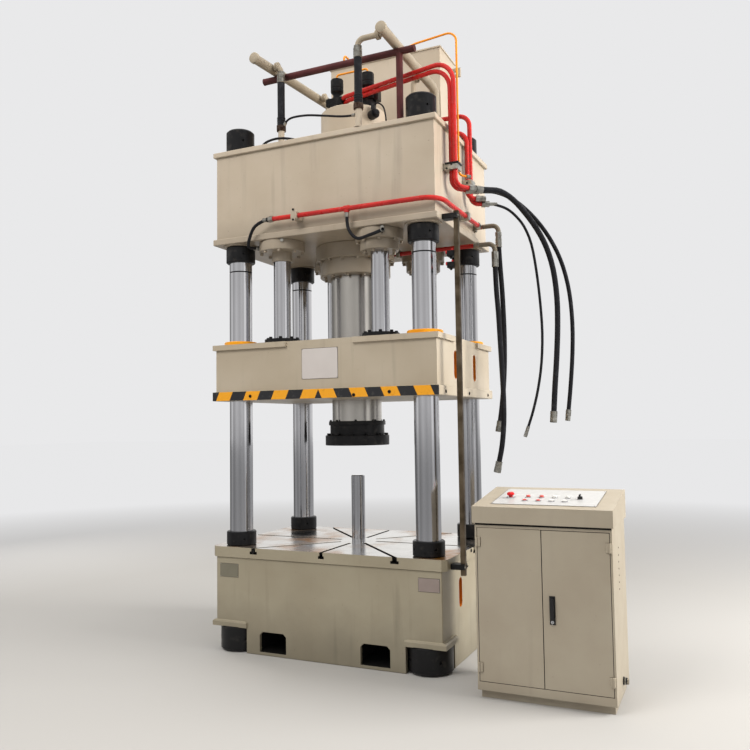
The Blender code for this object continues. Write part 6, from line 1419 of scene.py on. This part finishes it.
wheel = [(0.003, 0), (0.0105, 0), (0.0118, 0.0012), (0.0118, 0.0088), (0.0105, 0.010), (0.003, 0.010), (0.003, 0)]
gland = [(0, 0), (0.009, 0), (0.009, 0.006), (0.007, 0.007), (0.007, 0.011), (0.004, 0.013), (0, 0.013)]
pieces = [rail_plate(xs, (-half, half), zs, edge, finish) for xs, half, zs, edge, finish in RAIL_PLATES]
for top in (2.618, 2.546):
    pieces += [rail_plate((0.869, 0.9152), (-0.026, 0.026), (top - 0.044, top - 0.006), 0.003, black_oxide),
               rail_plate((0.874, 0.909), (-0.0275, -0.0255), (top - 0.040, top - 0.010), 0.0008, dark_bolt),
               rail_plate((0.8668, 0.8695), (-0.007, 0.007), (top - 0.036, top - 0.004), 0.0008, fitting_steel),
               rail_turned(wheel, 32, 0.8565, 0, top - 0.013, TO_RIGHT, knob_red),
               rail_turned(bar(0.0032, 0, 0.018, 0.0006), 16, 0.8535, 0, top - 0.013, TO_RIGHT, fitting_steel),
               rail_turned(bar(0.0060, 0, 0.012, 0.0015), 20, 0.902, -0.012, top - 0.0065, UP, knob_red),
               rail_turned(gland, 12, 0.889, 0, top - 0.0435, DOWN, knob_black)]
for level_z in (0.654, 2.829):
    for y in (-0.474, -0.426):
        pieces.append(coat(put(cap_screw(0.0065, 0.007), (0.944, y, level_z), TO_RIGHT), fitting_steel))
hand_over(united("rail_dressed", pieces), "frame", "black_oxide", "position_rail")

# %% [markdown]
# ## The control cabinet
# The sloping desk carries a pale panel with chrome bezels, lamps, buttons, an emergency stop and a selector.
# The desk leans by a small angle, so one function turns a place on the desk into a point and a direction.

# %% Places on the desk
DESK_LEFT, DESK_FRONT, DESK_FRONT_TOP, DESK_SLOPE = 1.100, -0.800, 1.061, 0.068 / 0.525
DESK_TILT = math.atan(DESK_SLOPE)
DESK_UP = Vector((0, -math.sin(DESK_TILT), math.cos(DESK_TILT)))


def on_desk(across, back, rise=0.0):
    return Vector((DESK_LEFT + across, DESK_FRONT + back, DESK_FRONT_TOP + back * DESK_SLOPE)) + DESK_UP * rise


def desk_piece(piece, across, back, rise=0.0):
    return put(piece, on_desk(across, back, rise), DESK_UP)


def desk_plate(name, left, right_edge, front, back, thickness, edge=0.0006):
    """A thin plate lying on the sloping panel."""
    middle = ((left + right_edge) / 2, (front + back) / 2)
    half = ((right_edge - left) / 2, (back - front) / 2 / math.cos(DESK_TILT))
    flat = plate(name, (-half[0], -half[1], 0), (half[0], half[1], thickness), edge, 1)
    return desk_piece(flat, middle[0], middle[1], 0.0019)


# %% Panel, blank strips, bezels and lamps
BUTTON_XS, BUTTON_BACK, LAMP_BACK = (0.265, 0.343, 0.418, 0.492), 0.160, 0.250
STOP_PLACE, KNOB_PLACE = (0.168, 0.227), (0.564, 0.227)
BEZEL = [(0.0114, 0.0015), (0.0172, 0.0015), (0.0172, 0.0058), (0.0156, 0.0078), (0.0125, 0.0078), (0.0114, 0.0068),
         (0.0114, 0.0015)]
LAMP_RING = [(0.0112, 0.0015), (0.0165, 0.0015), (0.0165, 0.0050), (0.0150, 0.0068), (0.0112, 0.0068),
             (0.0112, 0.0015)]
LAMP_DOME = [(0, 0.0015), (0.0124, 0.0015), (0.0124, 0.0125), (0.0112, 0.0148), (0.0080, 0.0162), (0, 0.0168)]
STOP_COLLAR = [(0.0114, 0.0015), (0.0250, 0.0015), (0.0252, 0.0070), (0.0235, 0.0096), (0.0125, 0.0098),
               (0.0114, 0.0090), (0.0114, 0.0015)]
KNOB_RING = [(0.0114, 0.0015), (0.0172, 0.0015), (0.0172, 0.0058), (0.0160, 0.0072), (0.0114, 0.0072),
             (0.0114, 0.0015)]
RIVET = [(0, 0), (0.0032, 0), (0.0028, 0.0012), (0.0012, 0.0019), (0, 0.0020)]


def on_panel(section, sides, place, finish, rise=0.0):
    """A turned piece standing on the panel."""
    return coat(desk_piece(lathe("desk", section, sides), *place, rise), finish)


pieces = [coat(desk_plate("desk", 0.0955, 0.6745, 0.0705, 0.4545, 0.0010), panel_grey),
          coat(desk_plate("desk", 0.0925, 0.6775, 0.0675, 0.4575, 0.0005, 0.0002), plate_rim)]
# A near-black strip under the desk's hood: a painted shadow, the shade under the hood's overhang.
hood_shadow = coat(plate("hood_shadow_strip", (1.113, -0.7860, 0.9570), (1.857, -0.7815, 0.9688), 0.0012), painted_shade)
hand_over(hood_shadow, "frame", "black_oxide")
for x, lamp_finish in zip(BUTTON_XS, (button_red, button_red, lamp_white, lamp_white)):
    pieces += [on_panel(BEZEL, 40, (x, BUTTON_BACK), bezel_chrome),
               on_panel(LAMP_RING, 40, (x, LAMP_BACK), bezel_chrome),
               on_panel(LAMP_DOME, 40, (x, LAMP_BACK), lamp_finish)]
for x, y in [(x, 0.303) for x in BUTTON_XS] + [(0.200, 0.303)] + [(x, 0.205) for x in BUTTON_XS]:
    pieces.append(coat(desk_plate("desk", x - 0.021, x + 0.021, y - 0.006, y + 0.006, 0.0016, 0.0003), strip_white))
pieces += [on_panel(STOP_COLLAR, 48, STOP_PLACE, bezel_chrome), on_panel(KNOB_RING, 40, KNOB_PLACE, bezel_chrome)]
for place in ((0.104, 0.080), (0.666, 0.080), (0.104, 0.446), (0.666, 0.446)):
    pieces.append(on_panel(RIVET, 16, place, fitting_steel, 0.0028))
hand_over(united("desk_dressed", pieces), "frame", "machined_steel")

# %% [markdown]
# The controls move, so each is a piece of its own on its own body. All are turned except the selector's grip,
# which is a plate with a pale pointer on it.

# %% Buttons, emergency stop and selector
BUTTON = [(0, -0.015), (0.0109, -0.015), (0.0109, 0.0110), (0.0098, 0.0122), (0.0078, 0.0116), (0, 0.0112)]
for index, (x, finish) in enumerate(zip(BUTTON_XS, (button_red, button_red, button_white, button_white))):
    name = "button_%d" % (index + 1)
    face = name_it(on_panel(BUTTON, 32, (x, BUTTON_BACK), finish), name + "_cap")
    hand_over(face, name, "black_oxide", name)
mushroom = [(0, -0.015), (0.0109, -0.015), (0.0109, 0.0175), (0.0180, 0.0180), (0.0208, 0.0205), (0.0212, 0.0265),
            (0.0196, 0.0310), (0.0150, 0.0345), (0.0080, 0.0362), (0, 0.0366)]
hand_over(name_it(on_panel(mushroom, 48, STOP_PLACE, knob_red), "stop_mushroom"), "emergency_stop", "red_pipe_paint",
          "emergency_stop")
base = lathe("knob", [(0, -0.015), (0.0089, -0.015), (0.0089, 0.0073), (0.0138, 0.0073), (0.0142, 0.0110),
                      (0.0130, 0.0190), (0, 0.0193)], 40)
grip = plate("knob", (-0.0042, -0.0150, 0.0180), (0.0042, 0.0150, 0.0325), 0.0016, 2)
pointer = coat(plate("knob", (-0.0009, 0.0030, 0.0322), (0.0009, 0.0145, 0.0329), 0.0002, 1), strip_white)
knob = united("knob", [coat(united("knob", [base, grip]), knob_black), pointer])
hand_over(name_it(desk_piece(knob, *KNOB_PLACE), "selector_grip"), "selector", "black_oxide", "selector_knob")

# %% [markdown]
# The hardware of a sheet-metal cabinet: barrel hinges in three rings, a row of small vents and a cable gland on
# the right side, and a latch with its keyhole and key on the right door. Round things are turned, flat ones plates.

# %% Hinges, vents and gland
HINGE = [(0, 0), (0.0066, 0.0004), (0.0074, 0.0016), (0.0074, 0.0160), (0.0066, 0.0166), (0.0074, 0.0172),
         (0.0074, 0.0328), (0.0066, 0.0334), (0.0074, 0.0340), (0.0074, 0.0484), (0.0066, 0.0496), (0, 0.050)]
VENT = [(0, 0.0006), (0.0034, 0.0006), (0.0036, 0.0012), (0.0046, 0.0012), (0.0050, 0), (0, -0.001)]
GLAND = [(0, 0), (0.022, 0), (0.022, 0.006), (0.0185, 0.008), (0.0185, 0.020), (0.016, 0.025), (0.012, 0.030),
         (0, 0.030)]
pieces = [coat(put(lathe("hinges", HINGE, 24), (x, -0.790, low_z)), cabinet_paint)
          for x in (1.121, 1.849) for low_z in (0.147, 0.838)]
# The vents are near black in their openings: painted shade.
for z in (0.835, 0.795, 0.758, 0.721, 0.684, 0.647, 0.610):
    pieces.append(coat(put(lathe("vents", VENT, 16), (1.8599, -0.560, z), TO_RIGHT), painted_shade))
pieces += [coat(put(lathe("gland", GLAND, 32), (1.860, -0.533, 0.110), TO_RIGHT), knob_black),
           coat(put(hexagon(0.0215, 0.009), (1.867, -0.533, 0.110), TO_RIGHT), fitting_steel)]
hand_over(united("cabinet_hardware", pieces), "frame", "press_paint")

# %% Latch and key
LOCK_X = 1.537
escutcheon = coat(plate("latch_plate", (1.5215, -0.7866, 0.4395), (1.5525, -0.7815, 0.5905), 0.0016), knob_black)
keyhole = put(lathe("latch_plate", [(0, 0), (0.0085, 0), (0.0088, 0.0035), (0.0070, 0.0046), (0, 0.0046)], 24),
              (LOCK_X, -0.7862, 0.4535), TO_FRONT)
key_bow = plate("latch_plate", (1.5362, -0.7980, 0.4465), (1.5378, -0.7900, 0.4590), 0.0005, 1)
turns = [math.tau * part / 20 for part in range(21)]
key_ring = pipe("latch_plate", [(LOCK_X, -0.7952 + 0.0062 * math.cos(turn), 0.4420 + 0.0085 * math.sin(turn))
                                for turn in turns], 0.0006, 1)
metal = [coat(piece, bezel_chrome) for piece in (keyhole, key_bow, key_ring)]
hand_over(united("latch_plate", [escutcheon] + metal), "door_right", "press_paint")
handle = coat(plate("latch_grip", (1.5262, -0.8020, 0.4635), (1.5478, -0.7866, 0.5805), 0.005, 3), knob_black)
hand_over(handle, "latch", "black_oxide", "latch_handle")
for model in (head, painted_head, small_head, lid_head):
    bpy.data.objects.remove(model)

# %% [markdown]
# ## Floor and light
# The press stands on a plain pale floor. A large soft lamp on the right makes that side of the press bright,
# a weaker one fills the front, and the sky gives an even level. The sky that chrome mirrors has a few
# soft grey bands, as the flags and lamps of a studio give, because a ground bar in an even white room looks like paper.

# %% Soft bands of light that the metal mirrors
mirrored, start, end = new_group("studio bands", ["Direction"], ["Shade"])
axes = axes_of(mirrored, start.outputs["Direction"])
bearing = maths(mirrored, 'ARCTAN2', axes["Y"], axes["X"])
bands = node(mirrored, 'ShaderNodeValToRGB')
mirrored.links.new(spread(mirrored, bearing, -math.pi, math.pi), bands.inputs[0])
# The bearing in degrees from +X, and how bright the sky is there.
SHADES = ((-180, 0.50), (-160, 0.95), (-138, 0.50), (-104, 0.80), (-72, 0.62), (-48, 0.78), (-30, 0.66), (-19, 1.20),
          (-8, 1.15), (2, 0.30), (20, 0.42), (36, 0.90), (79, 1.0), (108, 1.1), (130, 0.90), (152, 0.14), (180, 0.50))
while len(bands.color_ramp.elements) < len(SHADES):
    bands.color_ramp.elements.new(0.5)
for stop, (degrees, shade) in zip(bands.color_ramp.elements, SHADES):
    stop.position = (degrees + 180) / 360
    stop.color = (shade, shade, shade, 1)
mirrored.links.new(bands.outputs[0], end.inputs["Shade"])
print(len(SHADES), "bands of light")

# %% [markdown]
# The floor is a plain matt plane. Far off it fades into the colour of the background, so no horizon shows.
# In what metal mirrors it glows with the studio's bands instead of an endless even grey: painted light from no lamp.

# %% Floor
SEEN_BACKGROUND = tone(233, 233, 234)
FLOOR_SIZE, FLOOR_LEVEL, SHEEN = 120, -0.0005, 0.50


def mix_shaders(tree, share, first, second):
    """Mixes two shaders; a share of 1 gives the second one."""
    mix = node(tree, 'ShaderNodeMixShader')
    for socket, value in zip(mix.inputs, (share, first, second)):
        tree.links.new(value, socket)
    return mix.outputs[0]


bpy.ops.object.select_all(action='DESELECT')
bpy.ops.mesh.primitive_plane_add(size=FLOOR_SIZE, location=(0, 0, FLOOR_LEVEL))
floor = name_it(bpy.context.object, "floor")
bpy.ops.object.transform_apply(location=True, rotation=True, scale=True)
floor_finish, tree, shader, place = new_finish("floor", 0.75)
shader.inputs["Base Color"].default_value = tone(178, 176, 173)
distance = node(tree, 'ShaderNodeVectorMath', operation='LENGTH')
tree.links.new(place, distance.inputs[0])
away = distance.outputs["Value"]
ray = node(tree, 'ShaderNodeLightPath').outputs
glow, sheen = node(tree, 'ShaderNodeEmission'), node(tree, 'ShaderNodeEmission')
glow.inputs["Color"].default_value = SEEN_BACKGROUND
group = node(tree, 'ShaderNodeGroup', node_tree=mirrored)
tree.links.new(place, group.inputs["Direction"])
tree.links.new(maths(tree, 'MULTIPLY', group.outputs["Shade"], SHEEN), sheen.inputs["Strength"])
far_off = maths(tree, 'SMOOTH_MIN', spread(tree, away, 3.5, 11.0), 1.0, 0.1)
seen = mix_shaders(tree, maths(tree, 'MULTIPLY', ray["Is Camera Ray"], far_off), shader.outputs[0], glow.outputs[0])
in_metal = maths(tree, 'MULTIPLY', ray["Is Glossy Ray"], spread(tree, away, 1.6, 3.0, 0.0, 0.85))
tree.links.new(mix_shaders(tree, in_metal, seen, sheen.outputs[0]), tree.nodes["Material Output"].inputs["Surface"])
coat(floor, floor_finish)
floor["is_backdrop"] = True
print("floor of", FLOOR_SIZE, "m")

# %% [markdown]
# The sky has three shades: a plain one that the camera sees, banded light for what metal mirrors, and an even
# glow that lights the rest. Four area lamps add direction, and are hidden from reflections.

# %% Sky
world = bpy.data.worlds.new("studio")
bpy.context.scene.world = world
world.use_nodes = True
tree = world.node_tree
tree.nodes.clear()
group = node(tree, 'ShaderNodeGroup', node_tree=mirrored)
tree.links.new(node(tree, 'ShaderNodeTexCoord').outputs["Generated"], group.inputs["Direction"])
seen, reflected, lighting = (node(tree, 'ShaderNodeBackground') for _ in range(3))
seen.inputs["Color"].default_value = SEEN_BACKGROUND
reflected.inputs["Color"].default_value = (1.0, 0.99, 0.975, 1)
tree.links.new(group.outputs["Shade"], reflected.inputs["Strength"])
lighting.inputs["Color"].default_value = (1.0, 0.985, 0.96, 1)
lighting.inputs["Strength"].default_value = 0.42
ray = node(tree, 'ShaderNodeLightPath').outputs
lit = mix_shaders(tree, ray["Is Glossy Ray"], lighting.outputs[0], reflected.outputs[0])
clear_or_camera = maths(tree, 'MAXIMUM', ray["Is Camera Ray"], ray["Is Transmission Ray"])
whole = mix_shaders(tree, clear_or_camera, lit, seen.outputs[0])
tree.links.new(whole, node(tree, 'ShaderNodeOutputWorld').inputs["Surface"])
print("sky:", world.name)

# %% Lamps
LAMP_COLOUR = (1.0, 0.98, 0.95)


def lamp(name, place, aim, size, watts):
    """A rectangular area lamp that shines from a place towards another."""
    bpy.ops.object.light_add(type='AREA', location=place)
    light = bpy.context.object
    light.name = name
    light.data.shape = 'RECTANGLE'
    light.data.size, light.data.size_y = size
    light.data.energy = watts
    light.data.color = LAMP_COLOUR
    light.rotation_euler = (Vector(aim) - Vector(place)).to_track_quat('-Z', 'Y').to_euler()
    light.visible_glossy = False
    print(name, "gives", watts, "W")


lamp("right_softbox", (7.5, 0.8, 4.6), (0.3, 0, 2.0), (4.0, 4.0), 900)
lamp("front_fill", (-1.5, -5.5, 6.5), (0, 0, 3.0), (3.5, 3.5), 330)
lamp("top_light", (0.5, -0.5, 8.5), (0.3, 0, 0), (5.0, 5.0), 250)
lamp("left_edge", (-6.0, 2.0, 3.5), (0, 0, 2.2), (2.0, 4.0), 120)

# %% [markdown]
# ## Sizes
# The box of the solids and the box of the dressed press are both measured, and the dressed one is printed.
# The dressed press has to stay inside the box of its solids.

# %% Measure the dressed box and print it
dressed_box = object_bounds()
boxes = {"cad": [list(corner) for corner in cad_box], "visual": [list(corner) for corner in dressed_box]}
print("dressed box", boxes["visual"])
